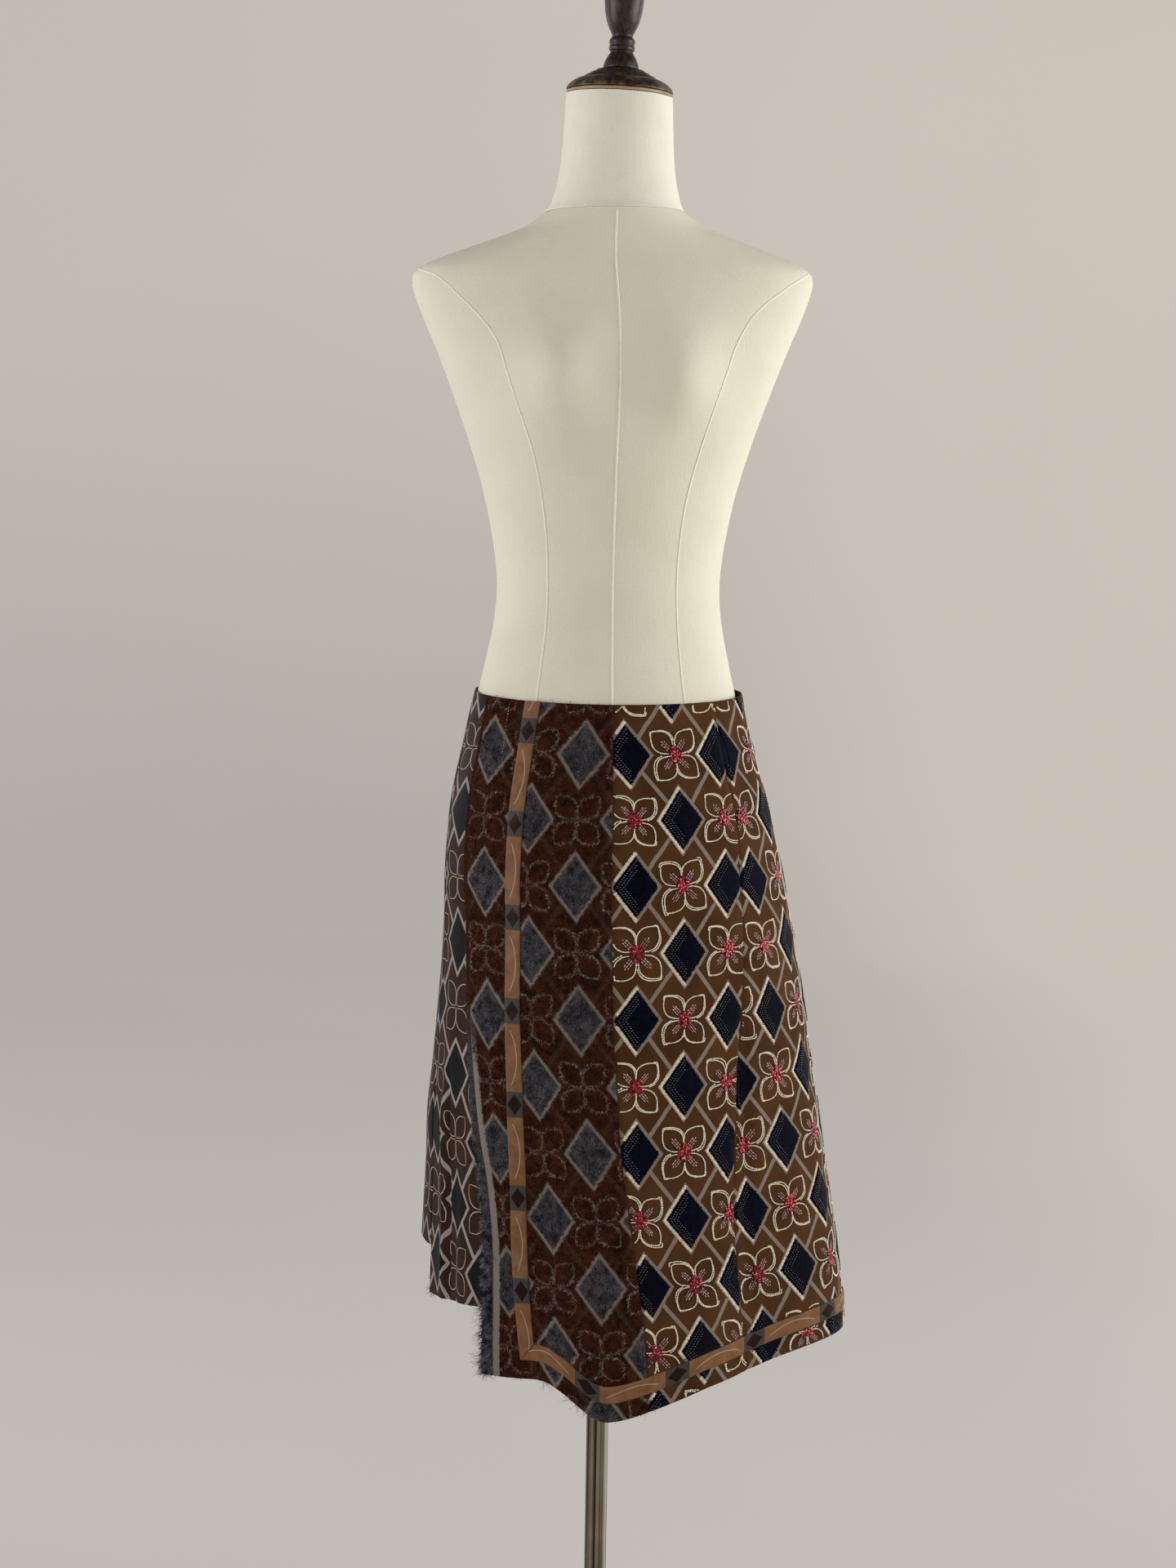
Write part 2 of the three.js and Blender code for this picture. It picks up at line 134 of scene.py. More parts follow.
class Wire:
    # wraps a socket, so that shader maths reads as plain expressions

    def __init__(self, tree, socket=None):
        self.tree, self.socket = tree, socket

    def node(self, kind, settings=None, sockets=None, out=0):
        made = self.tree.nodes.new(kind)
        for key, value in (settings or {}).items():
            setattr(made, key, value)
        for key, value in (sockets or {}).items():
            if isinstance(value, Wire):
                self.tree.links.new(value.socket, made.inputs[key])
            else:
                made.inputs[key].default_value = value
        return Wire(self.tree, made.outputs[out])

    def maths(self, operation, *others):
        sockets = {0: self} if self.socket else {}
        sockets.update({len(sockets) + i: value for i, value in enumerate(others)})
        return self.node("ShaderNodeMath", {"operation": operation}, sockets)

    __add__ = __radd__ = lambda self, other: self.maths("ADD", other)
    __mul__ = __rmul__ = lambda self, other: self.maths("MULTIPLY", other)
    __sub__ = lambda self, other: self.maths("SUBTRACT", other)
    __rsub__ = lambda self, other: Wire(self.tree).maths("SUBTRACT", other, self)
    __truediv__ = lambda self, other: self.maths("DIVIDE", other)
    __abs__ = lambda self: self.maths("ABSOLUTE")

    def over(self, low, high):
        # 0 below low, 1 above high, and smooth between them; the other way round if low > high
        first, last = (0, 1) if low < high else (1, 0)
        sockets = {"From Min": min(low, high), "From Max": max(low, high), "To Min": first, "To Max": last}
        return self.node("ShaderNodeMapRange", {"interpolation_type": "SMOOTHSTEP"}, {"Value": self, **sockets})

    def blend(self, first, second):
        # self is the factor between two colours
        colours = {0: self, 6: asColour(first), 7: asColour(second)}
        return self.node("ShaderNodeMix", {"data_type": "RGBA"}, colours, 2)

    def noise(self, scale, detail=2, rough=0.5):
        # self is the coordinates; three scales draw the grain out along an axis
        if isinstance(scale, tuple):
            return self.node("ShaderNodeMapping", None, {"Vector": self, "Scale": scale}).noise(1, detail, rough)
        sockets = {"Vector": self, "Scale": scale, "Detail": detail, "Roughness": rough}
        return self.node("ShaderNodeTexNoise", None, sockets)


def asColour(value):
    return value if isinstance(value, Wire) else (*value, 1)


def paint(*tone):
    # a colour as it is mixed, given 0 to 255, in linear light
    return tuple(c / 12.92 if c <= 0.04045 else ((c + 0.055) / 1.055) ** 2.4 for c in (v / 255 for v in tone))


def paints(**tones):
    return {name: paint(*tone) for name, tone in tones.items()}


def finish(name, plain, build):
    # plain values go on the shader's own sockets; build returns what varies over the surface
    material = bpy.data.materials.new(name)
    material.use_nodes = True
    tree = material.node_tree
    shader = tree.nodes["Principled BSDF"]
    for key, value in plain.items():
        shader.inputs[key].default_value = value
    for key, value in build(Wire(tree)).items():
        if key == "Height":
            height, distance = value
            bump = height.node("ShaderNodeBump", None, {"Height": height, "Distance": distance, "Strength": 1.0})
            tree.links.new(bump.socket, shader.inputs["Normal"])
        else:
            tree.links.new(value.socket, shader.inputs[key])
    return material


def objectPoint(start):
    return start.node("ShaderNodeTexCoord", out=3)


def split(vector):
    parts = vector.node("ShaderNodeSeparateXYZ", None, {0: vector}).socket.node.outputs
    return [Wire(vector.tree, part) for part in parts]


def clothPoint(start):
    # the cloth's own coordinates, across and down, in millimetres
    uv = start.node("ShaderNodeUVMap", {"uv_map": "cloth"})
    across, down, _ = split(uv)
    return uv, across * 100, down * -100


wallColours = paints(
    base=(150, 147, 143), dim=(146, 143, 139), glowLeft=(171, 167, 161), glowRight=(182, 177, 168),
    glowFloor=(154, 151, 146), glowSide=(181, 175, 166)
)


def wallFinish(start):
    # the round studio glows softly of itself, a little more to the right, and less on the floor
    point = objectPoint(start)
    x, _, z = split(point)
    glow = x.over(-2.5, 2.5).blend(wallColours["glowLeft"], wallColours["glowRight"])
    lowGlow = x.over(0.5, 1.7).blend(wallColours["glowFloor"], wallColours["glowSide"])
    glow = z.over(2.2, -0.4).blend(glow, lowGlow)
    cloud = point.noise(0.9, 2)
    return {
        "Base Color": cloud.over(0.35, 0.65).blend(wallColours["dim"], wallColours["base"]),
        "Emission Color": glow,
        "Height": (point.noise(160, 3), 0.0004),
    }


bodyCanvas = paints(base=(222, 217, 199), dim=(217, 212, 193), stain=(205, 198, 177))
neckCanvas = paints(base=(229, 225, 212), dim=(222, 217, 202), stain=(207, 201, 184))


def canvasFinish(colours):
    def build(start):
        # plain weave cotton over the form, a little mottled
        point = objectPoint(start)
        warp = point.noise((900, 900, 70), 2)
        fleck = point.noise(900, 2)
        cloud = point.noise(14, 4, 0.6).over(0.3, 0.7)
        slub = point.noise((60, 60, 900), 2)
        tone = cloud.blend(colours["dim"], colours["base"])
        tone = (fleck.over(0.45, 0.75) * 0.35).blend(tone, colours["stain"])
        return {"Base Color": tone, "Height": (warp * 0.9 + fleck * 0.5 + slub * 0.4, 0.0003)}

    return build


woodColours = paints(deep=(20, 14, 10), warm=(56, 43, 31), worn=(132, 106, 72))


def woodFinish(start):
    point = objectPoint(start)
    streak = point.noise((420, 420, 24), 4, 0.6)
    patch = point.noise(85, 4, 0.65)
    # rubbed bare along the edge of the cap, and hardly at all on the finial above it
    worn = patch.over(0.42, 0.66) * split(point)[2].over(1.5745, 1.557) * 0.55
    tone = streak.over(0.35, 0.7).blend(woodColours["deep"], woodColours["warm"])
    tone = greater(worn, patch.over(0.56, 0.76) * 0.2).blend(tone, woodColours["worn"])
    return {
        "Base Color": tone,
        "Roughness": streak.over(0.3, 0.8) * 0.2 + 0.32,
        "Height": (streak * 0.6 + point.noise(700, 2) * 0.4, 0.0003),
    }


def steelWithPaintedReflections(start):
    # brushed round the pole, with painted reflections: upright dark and bright streaks in its colour stand in for the
    # room mirrored in the steel
    point = objectPoint(start)
    brushed = point.noise((30, 30, 2600), 3)
    smear = point.noise(18, 3)
    # painted reflections: these upright streaks make the colour darker, then lighter, where the room would be mirrored
    upright = point.noise((150, 150, 0.4), 2)
    tone = smear.over(0.3, 0.75).blend(paint(126, 114, 98), paint(150, 138, 122))
    tone = upright.over(0.5, 0.36).blend(tone, paint(52, 46, 40))
    return {
        "Base Color": upright.over(0.54, 0.66).blend(tone, paint(206, 200, 190)),
        "Roughness": brushed.over(0.3, 0.7) * 0.12 + 0.14,
        "Height": (brushed, 0.00006),
    }


def baseFinish(start):
    # brushed in rings round the middle, and a little cloudy
    point = objectPoint(start)
    x, y, _ = split(point)
    radius = (x * x + y * y).maths("SQRT")
    rings = start.node("ShaderNodeCombineXYZ", None, {0: radius}).noise(1400, 3)
    return {
        "Base Color": point.noise(7, 3).over(0.3, 0.7).blend(paint(128, 121, 111), paint(148, 141, 130)),
        "Roughness": rings.over(0.3, 0.7) * 0.14 + 0.38,
        "Height": (rings, 0.00005),
    }


# the trellis: diamonds of this width and height, in millimetres, with a smaller diamond where its bars cross

trellis = {"width": 94, "height": 126, "bar": 2.0, "knot": 0.232, "rim": 3.2, "long": 700}
flower = {"turns": (42, 138, 222, 318), "foot": 2.0, "length": 28.5, "half": 10.0}
perMm = math.hypot(1 / trellis["width"], 1 / trellis["height"])


def lesser(a, b):
    return a.maths("MINIMUM", b) if isinstance(a, Wire) else np.minimum(a, b)


def greater(a, b):
    return a.maths("MAXIMUM", b) if isinstance(a, Wire) else np.maximum(a, b)


def fromWhole(a):
    return abs(a - (a.maths("ROUND") if isinstance(a, Wire) else np.round(a)))


def pastWhole(a):
    return a.maths("FRACT") if isinstance(a, Wire) else a % 1


def trellisPlace(across, down):
    # how near a place is to a bar and to a knot's middle, and where it lies in its cell: wires or numbers
    lines = [across / trellis["width"] + down / trellis["height"], across / trellis["width"] - down / trellis["height"]]
    nearA, nearB = (fromWhole(line) for line in lines)
    cellA, cellB = (pastWhole(line) - 0.5 for line in lines)
    inAcross = (cellA + cellB) * (trellis["width"] / 2)
    return lesser(nearA, nearB), greater(nearA, nearB), inAcross, (cellA - cellB) * (trellis["height"] / 2)


def petals(inAcross, inDown):
    # for each petal, the distance from its outline, and the place along it: -1 at the foot and 1 at the tip
    for lean in flower["turns"]:
        sin, cos = math.sin(math.radians(lean)), math.cos(math.radians(lean))
        along = inAcross * sin - inDown * cos
        aside = inAcross * cos + inDown * sin
        part = (along - flower["foot"]) / (flower["length"] / 2) - 1
        yield abs(abs(aside) - (1 - part * part) * flower["half"]), part


def trellisMasks(across, down, edge):
    near, knot, inAcross, inDown = trellisPlace(across, down)
    limits = (trellis["bar"] * perMm, trellis["knot"], trellis["knot"] + trellis["rim"] * perMm)
    masks = [away.over(limit + edge * perMm, limit - edge * perMm) for away, limit in zip((near, knot, knot), limits)]
    return *masks, inAcross, inDown


def flowerLines(inAcross, inDown, thick, soft):
    lines = None
    for away, part in petals(inAcross, inDown):
        line = away.over(thick + soft, thick - soft) * abs(part).over(1.04, 0.98)
        lines = line if lines is None else greater(lines, line)
    return lines


floatScale = (340, 30, 1)  # of the long threads that lie over a satin
woolColours = paints(
    ground=(80, 52, 27), groundDim=(64, 40, 20), fuzz=(94, 66, 38), bar=(142, 128, 116), barDim=(114, 102, 91),
    navy=(9, 11, 34), navyDim=(3, 4, 12)
)


def embroideredFinish(start):
    uv, across, down = clothPoint(start)
    wobble = uv.noise(9) * 1.6 - 0.8
    bars, knots, rim, _, _ = trellisMasks(across + wobble, down + wobble, 0.35)
    twill = ((across + down) * 4.6).maths("SINE")
    fuzz = uv.noise(160, 4, 0.65)
    cloud = uv.noise(2.2, 3)
    ground = cloud.over(0.3, 0.7).blend(woolColours["groundDim"], woolColours["ground"])
    ground = (fuzz.over(0.5, 0.8) * 0.45).blend(ground, woolColours["fuzz"])
    bar = fuzz.over(0.35, 0.65).blend(woolColours["barDim"], woolColours["bar"])
    ribs = (down * 7.5).maths("SINE")
    # painted sheen: the satin stitch's ribs are coloured lighter along their crowns and darker between them
    navy = (ribs * 0.5 + 0.5).blend(woolColours["navyDim"], woolColours["navy"])
    tone = greater(bars, rim).blend(ground, bar)
    tone = knots.blend(tone, navy)
    relief = greater(bars, rim) * 0.9 + knots * (ribs * 0.22 + 0.7) + twill * 0.1 + fuzz * 0.9
    return {
        "Base Color": tone,
        "Roughness": 0.86 - knots * 0.4,
        "Height": (relief, 0.00045),
    }


satinColours = paints(
    ground=(51, 28, 19), groundDim=(34, 18, 11), bar=(138, 131, 124), knot=(10, 12, 15), line=(176, 162, 142),
    smoke=(74, 71, 74)
)


def printedFinish(start):
    uv, across, down = clothPoint(start)
    wobble = uv.noise(6, 2) * 2.4 - 1.2
    bars, knots, rim, inAcross, inDown = trellisMasks(across + wobble, down + wobble, 0.3)
    lines = flowerLines(inAcross, inDown, 0.45, 0.3)
    cloud = uv.noise(3, 4, 0.6)
    ground = cloud.over(0.3, 0.7).blend(satinColours["groundDim"], satinColours["ground"])
    smoke = uv.noise(22, 3).over(0.58, 0.7) * abs(inAcross).over(7, 2) * abs(inDown).over(20, 10)
    tone = (smoke * 0.7).blend(ground, satinColours["smoke"])
    tone = lines.blend(tone, satinColours["line"])
    tone = greater(bars, rim).blend(tone, satinColours["bar"])
    tone = knots.blend(tone, satinColours["knot"])
    floats = uv.noise(floatScale)
    return {"Base Color": tone, "Roughness": floats * 0.16 + 0.4, "Height": (floats, 0.00012)}


pileColours = paints(
    ground=(74, 40, 25), groundDim=(28, 13, 9), fibre=(122, 108, 97), knot=(78, 77, 82), knotDim=(31, 32, 38),
    bar=(84, 72, 64), strip=(120, 113, 106)
)


def pileFinish(start):
    uv, across, down = clothPoint(start)
    wobble = uv.noise(26, 3) * 5 - 2.5
    bars, knots, rim, inAcross, inDown = trellisMasks(across + wobble, down + wobble, 1.6)
    lines = flowerLines(inAcross + wobble, inDown, 0.6, 1.2)
    tuft = uv.noise(75, 4, 0.7)
    cloud = uv.noise(7, 4, 0.65)
    ground = (cloud * 0.5 + tuft * 0.5).over(0.38, 0.62).blend(pileColours["groundDim"], pileColours["ground"])
    wisps = uv.noise((90, 30, 1), 4, 0.7)
    tone = (bars * 0.4).blend(ground, pileColours["bar"])
    tone = (lines * wisps.over(0.42, 0.62) * 0.8).blend(tone, pileColours["fibre"])
    grey = (cloud * 0.5 + tuft * 0.5).over(0.4, 0.6).blend(pileColours["knotDim"], pileColours["knot"])
    tone = (knots * 0.9).blend(tone, grey)
    tone = (wisps.over(0.62, 0.76) * 0.35).blend(tone, pileColours["fibre"])
    flatRim = rim * (1 - knots)
    tone = (flatRim * 0.85).blend(tone, pileColours["strip"])
    fromEdge = start.node("ShaderNodeAttribute", {"attribute_name": "fromEdge"}, out=2)
    strip = (fromEdge + wobble * 0.5).over(7.6, 6.2) * down.over(300, 380)
    tone = strip.blend(tone, pileColours["strip"])
    return {"Base Color": tone, "Height": ((tuft * 0.8 + cloud * 0.5) * (1 - greater(strip, flatRim)), 0.0012)}


def greyPileFinish(start):
    uv, _, down = clothPoint(start)
    tuft = uv.noise(80, 4, 0.7)
    grey = tuft.over(0.36, 0.66).blend(paint(34, 31, 36), paint(84, 77, 78))
    brown = tuft.over(0.36, 0.66).blend(pileColours["groundDim"], pileColours["ground"])
    return {"Base Color": down.over(290, 370).blend(brown, grey), "Height": (tuft, 0.0012)}


bandColours = paints(peach=(128, 92, 64), peachDim=(110, 78, 53), grey=(66, 62, 61))
bandPattern = {"repeat": 88, "grey": 24, "mark": (7, 10), "arc": (54, 6.5)}


def bandFinish(start):
    # peach lengths with short grey ones between them, and a small dark diamond on each grey one
    uv, across, down = clothPoint(start)
    place = (down / bandPattern["repeat"] + 0.18).maths("FRACT") * bandPattern["repeat"]
    grey = abs(place - bandPattern["repeat"] / 2).over(bandPattern["grey"] / 2 + 0.4, bandPattern["grey"] / 2 - 0.4)
    wide, tall = bandPattern["mark"]
    mark = (abs(across - 8) / wide + abs(place - bandPattern["repeat"] / 2) / tall).over(1.05, 0.95)
    cloud = uv.noise(8, 3).over(0.3, 0.7)
    floats = uv.noise((30, 340, 1), 2)
    length, half = bandPattern["arc"]
    part = (place + bandPattern["repeat"] / 2).maths("MODULO", bandPattern["repeat"]) / (length / 2) - (
        bandPattern["repeat"] / length)
    arc = abs(across - 5 - (1 - part * part) * half).over(0.7, 0.3) * abs(part).over(1.0, 0.9)
    tone = cloud.blend(bandColours["peachDim"], bandColours["peach"])
    tone = (arc * 0.6).blend(tone, satinColours["line"])
    tone = grey.blend(tone, bandColours["grey"])
    tone = mark.blend(tone, satinColours["groundDim"])
    return {"Base Color": tone, "Roughness": floats * 0.2 + 0.3, "Height": (floats, 0.00012)}


def twoTone(dark, light, scale, detail=2, edges=(0.35, 0.65), rough=None, relief=None, onCloth=False):
    # soft patches of two tones; rough is (scale, span, lowest) and relief (scale, detail, depth)
    def build(start):
        point = clothPoint(start)[0] if onCloth else objectPoint(start)
        made = {"Base Color": point.noise(scale, detail).over(*edges).blend(dark, light)}
        if rough:
            made["Roughness"] = point.noise(rough[0]) * rough[1] + rough[2]
        if relief:
            made["Height"] = (point.noise(*relief[:2]), relief[2])
        return made

    return build


def threadFinish(light, dark, twist=900):
    return twoTone(dark, light, twist, relief=(2400, 2, 0.0001))


woodEdge = twoTone(
    paint(124, 104, 78), paint(166, 146, 114), (90, 90, 900), 3, (0.3, 0.7), relief=((90, 90, 900), 3, 0.0003))
liningSatin = twoTone(
    paint(46, 29, 20), paint(58, 37, 26), 2.5, 3, (0.3, 0.7), (floatScale, 0.2, 0.4), (floatScale, 2, 0.00012), True)
redSequin = twoTone(paint(84, 6, 16), paint(158, 24, 38), 220, rough=(500, 0.2, 0.16))
navyStitch = twoTone(woolColours["navyDim"], woolColours["navy"], 260, 3, (0.35, 0.7), relief=(1800, 2, 0.0001))
navyGlass = twoTone(paint(4, 5, 16), paint(16, 24, 52), 300, 1, (0.4, 0.6))
cloth = {"Roughness": 0.9, "Specular IOR Level": 0.05, "Sheen Weight": 0.03, "Sheen Roughness": 0.5}
satin = {"Specular IOR Level": 0.07, "Anisotropic": 0.3}
formTape = paint(238, 232, 214), paint(226, 218, 198)
plush = {"Roughness": 0.98, "Specular IOR Level": 0.03, "Sheen Weight": 0.04, "Sheen Roughness": 0.35}

finishes = {
    "wall": finish("wallPaint", {"Roughness": 0.95, "Specular IOR Level": 0.1, "Emission Strength": 1.0}, wallFinish),
    "canvas": finish("formCanvas", {**cloth, "Sheen Weight": 0.1}, canvasFinish(bodyCanvas)),
    "neckCanvas": finish("neckCanvas", {**cloth, "Sheen Weight": 0.1}, canvasFinish(neckCanvas)),
    "seamTape": finish("seamTape", {**cloth, "Roughness": 0.8}, threadFinish(*formTape)),
    "wood": finish("stainedWood", {"Coat Weight": 0.06, "Coat Roughness": 0.3, "Specular IOR Level": 0.3}, woodFinish),
    "bareWood": finish("woodEdge", {"Roughness": 0.5}, woodEdge),
    "steel": finish("brushedSteelPaintedReflections", {"Metallic": 1.0}, steelWithPaintedReflections),
    "baseSteel": finish("baseSteel", {"Metallic": 0.75}, baseFinish),
    "embroidered": finish("embroideredWool", cloth, embroideredFinish),
    "printed": finish("printedSatin", satin, printedFinish),
    "lining": finish("plainLining", satin, liningSatin),
    "pile": finish("brownPile", plush, pileFinish),
    "greyPile": finish("greyPile", plush, greyPileFinish),
    "band": finish("satinBand", satin, bandFinish),
    "cream": finish("creamThread", {"Roughness": 0.75}, threadFinish(paint(232, 224, 205), paint(202, 190, 166))),
    "pink": finish("pinkThread", {"Roughness": 0.6}, threadFinish(paint(206, 184, 182), paint(122, 66, 74))),
    "sequin": finish("redSequin", {"Metallic": 0.7, "Coat Weight": 0.3}, redSequin),
    "navy": finish("navyThread", {"Roughness": 0.55, "Specular IOR Level": 0.06}, navyStitch),
    "bead": finish("navyBead", {"Roughness": 0.1, "Specular IOR Level": 0.6}, navyGlass),
    "brownFibre": finish("brownFibre", plush, threadFinish(paint(94, 51, 32), paint(36, 17, 11), 170)),
    "paleFibre": finish("paleFibre", plush, threadFinish(paint(184, 170, 156), paint(112, 96, 85), 200)),
    "greyFibre": finish("greyFibre", plush, threadFinish(paint(116, 115, 120), paint(24, 25, 31), 150)),
}
print("finishes mixed:", len(finishes))

# the skirt's face: the same named values as the solids have, in millimetres and degrees

skirt = {
    "wall": 1.5,
    "bodyShift": -2.8,
    "waistFront": 970,
    "waistSide": 977,
    "foldTop": 800,
    "foldBottom": 340,
    "lapUnder": 9,
    "layerGap": 0.8,
    "lapCloth": 1.6,
    "hips": (840, 955),  # the cloth lies close above these heights
    "leftSeam": -84,
    "rightSeam": 97,
    # height, then the reach to the left, right, front and back
    "sections": [
        (290, 168, 250, 178, 197), (360, 170, 248, 174, 192), (410, 170, 242.5, 171, 188),
        (460, 168.5, 235.5, 167, 183), (510, 167.5, 227, 163, 178), (560, 168, 219, 159, 173),
        (610, 164.5, 209.5, 154, 168), (658, 161.5, 202, 149, 163), (707, 158, 194, 143, 157),
        (755, 156.5, 185.5, 136, 151), (804, 157, 175, 128, 144), (853, 153.5, 164.5, 119, 136),
        (877, 150.5, 158.5, 114, 131), (900, 146, 151, 109, 125), (925, 140.5, 144, 104, 117.5),
        (950, 135.5, 138, 98.8, 109), (985, 127.5, 131.5, 92.9, 98),
    ],
    # height, then the angle of the lap's edge, the band, the centre seam and the side-front seam
    "seams": [
        (290, -43.7, -28.5, 8.4, 35.5), (350, -43.6, -30.6, 7.6, 34.5), (400, -43.3, -32.4, 6.7, 33.3),
        (455, -43.8, -34, 4.9, 32.4), (500, -45.5, -34.6, 3.4, 32.6), (555, -48.8, -35.4, 1.8, 34.2),
        (640, -55.4, -38, 0.2, 37.8), (700, -58.8, -39.7, -0.6, 41), (785, -61.4, -40.4, -1.2, 44.5),
        (862, -63, -40.6, -0.9, 47.6), (975, -64.1, -40, -0.4, 47.7),
    ],
    "frontHem": [
        (-70, 331), (-44, 331), (-31, 331), (-21, 330.5), (-15, 322), (-10, 311.5), (-4, 300.5), (1, 299.5),
        (8, 306), (16, 316.5), (23, 325.5), (36, 335), (52, 349), (66, 354), (90, 348), (120, 352), (150, 368),
        (180, 388),
    ],
    "backHem": [(-180, 388), (-150, 404), (-120, 424), (-104, 430), (-84, 429)],
    "sideHem": [(-90, 380), (-68, 386), (-46, 394), (-30, 397)],
    # angle, spread and depth of each fold at the hem
    "folds": [
        (-160, 13, -10), (-132, 12, 8), (-102, 12, 9), (-77, 9, -4), (-62, 6, -6), (-48, 9, 4), (-26, 9, -7),
        (-3, 11, 9), (38, 11, -13), (64, 11, 5), (112, 13, -12), (140, 12, 10), (167, 11, -6),
    ],
    "pileEdge": [(290, 13), (480, 10), (660, 7), (985, 4)],
}


def smoothCurve(points):
    # a smooth curve through a short table of (place, value)
    x, y = (np.array(column, float) for column in zip(*points))
    slope = np.gradient(y, x)
    slope[1:-1] = (y[2:] - y[:-2]) / (x[2:] - x[:-2])

    def at(place):
        place = np.asarray(place, float)
        i = np.clip(np.searchsorted(x, place) - 1, 0, len(x) - 2)
        span = x[i + 1] - x[i]
        t = np.clip((place - x[i]) / span, 0, 1)
        ends = y[i] * (1 + 2 * t) * (1 - t) ** 2 + y[i + 1] * t * t * (3 - 2 * t)
        return ends + span * t * (1 - t) * (slope[i] * (1 - t) - slope[i + 1] * t)

    return at


def columnCurve(rows, column):
    return smoothCurve([(row[0], row[column]) for row in rows])


def ease(value, low, high):
    # 0 at low and 1 at high, smoothly
    t = np.clip((value - low) / (high - low), 0, 1)
    return t * t * (3 - 2 * t)


reach = [columnCurve(skirt["sections"], i) for i in (1, 2, 3, 4)]
lapLine, bandLine, centreLine, sideFrontLine = (columnCurve(skirt["seams"], i) for i in (1, 2, 3, 4))
frontHem, backHem, sideHem, pileWidth = (
    smoothCurve(skirt[key]) for key in ("frontHem", "backHem", "sideHem", "pileEdge")
)


def foldDepth(angle, z):
    growth = 1 - ease(z, skirt["foldBottom"], skirt["foldTop"])
    total = np.zeros(np.broadcast(angle, z).shape)
    for middle, spread, depth in skirt["folds"]:
        away = np.abs(angle - middle)
        away = np.minimum(away, 360 - away)
        total = total + depth * np.exp(-((away / spread) ** 2))
    return growth * total


def skirtFace(angle, z):
    left, right, front, back = (curve(z) for curve in reach)
    across = np.where(angle < 0, left, right)
    depth = np.where(np.abs(angle) < 90, front, back)
    out = foldDepth(angle, z)
    sin, cos = np.sin(np.radians(angle)), np.cos(np.radians(angle))
    x = skirt["bodyShift"] + (across + out) * sin
    return np.stack(np.broadcast_arrays(x, -(depth + out) * cos, z), -1)


def skirtOut(angle, z):
    along = skirtFace(angle + 0.5, z) - skirtFace(angle - 0.5, z)
    up = skirtFace(angle, z + 2) - skirtFace(angle, z - 2)
    return unit(np.cross(along, up))


def perDegree(angle, z):
    return np.linalg.norm(skirtFace(angle + 0.5, z) - skirtFace(angle - 0.5, z), axis=-1)


def lapLift(angle, z):
    inside = angle - lapLine(z)
    lift = (skirt["lapCloth"] + skirt["layerGap"]) * (1 - ease(inside, skirt["lapUnder"] + 1, skirt["lapUnder"] + 15))
    return np.where(inside > -1, lift, 0)


def waistHeight(angle):
    return skirt["waistSide"] - (skirt["waistSide"] - skirt["waistFront"]) * np.cos(np.radians(angle))


# lengths along the cloth, kept in tables over angle and height

gridStep = 3.0
gridAngles = np.arange(-186, 186.01, 1.0)
gridHeights = np.arange(280, 986.01, gridStep)
gridFace = skirtFace(gridAngles[None, :], gridHeights[:, None])
acrossSteps, downSteps = (np.linalg.norm(np.diff(gridFace, axis=axis), axis=2) for axis in (1, 0))
girth = np.concatenate([np.zeros((len(gridHeights), 1)), np.cumsum(acrossSteps, 1)], 1)
girth = girth - girth[:, [int(np.argmin(abs(gridAngles)))]]
drop = np.concatenate([np.zeros((1, len(gridAngles))), np.cumsum(downSteps[::-1], 0)], 0)[::-1]


def lookUp(table, angle, z):
    i = np.clip((z - gridHeights[0]) / gridStep, 0, len(gridHeights) - 1.001)
    j = np.clip(angle - gridAngles[0], 0, len(gridAngles) - 1.001)
    i0, j0 = i.astype(int), j.astype(int)
    a, b = i - i0, j - j0
    top = table[i0, j0] * (1 - b) + table[i0, j0 + 1] * b
    low = table[i0 + 1, j0] * (1 - b) + table[i0 + 1, j0 + 1] * b
    return top * (1 - a) + low * a


def clothUv(angle, z, middle):
    # millimetres across from the panel's middle line, and down from the waist
    angle, z = np.broadcast_arrays(np.asarray(angle, float), np.asarray(z, float))
    return lookUp(girth, angle, z) - lookUp(girth, middle(z), z), lookUp(drop, angle, z)


def clothPlace(across, down, middle):
    # the angle and height of a place on the cloth
    z = skirt["waistSide"] - down * 0.98
    angle = middle(z)
    for _ in range(12):
        hereAcross, hereDown = clothUv(angle, z, middle)
        z = np.clip(z + (hereDown - down), 282, 984)
        angle = np.clip(angle + (across - hereAcross) / perDegree(angle, z), -184, 184)
    return angle, z


def hemRise(angle, rise, hem):
    # the height that lies some millimetres of cloth above the hem
    low = hem(angle)
    z = low + rise
    for _ in range(6):
        z = z + (rise - (lookUp(drop, angle, low) - lookUp(drop, angle, z)))
    return z


# creases put in one by one: angle and height of both ends, width in degrees, depth
creases = [
    ((-68.6, 600), (-65.8, 372), 1.4, -4.6), ((-71.6, 600), (-69.6, 372), 2, 2.6),
    ((-60.5, 600), (-57, 372), 3, 1.2), ((40.5, 720), (33.6, 330), 2.4, -1.8),
    ((44.5, 720), (38, 330), 3.4, 1.3), ((-21, 440), (-19.5, 312), 4.5, 1.6),
    ((-12.5, 430), (-12, 300), 4, -1.2), ((22, 520), (19.5, 320), 5, 0.9),
    ((66, 640), (63, 340), 5, 1.2), ((82, 600), (80, 340), 4, -1.4),
    ((112, 580), (110, 350), 4, -2), ((128, 660), (127, 360), 5, 3.2),
    ((140, 600), (138.5, 360), 3.5, -1.6), ((154, 720), (153, 370), 4.5, -3.2),
    ((169, 640), (171, 370), 4, 2.4), ((-118, 680), (-116, 410), 5, -3),
    ((-132, 600), (-131, 400), 4, 2), ((-146, 660), (-147, 400), 5, 3),
    ((-165, 700), (-166, 390), 4.5, -2.6),
]


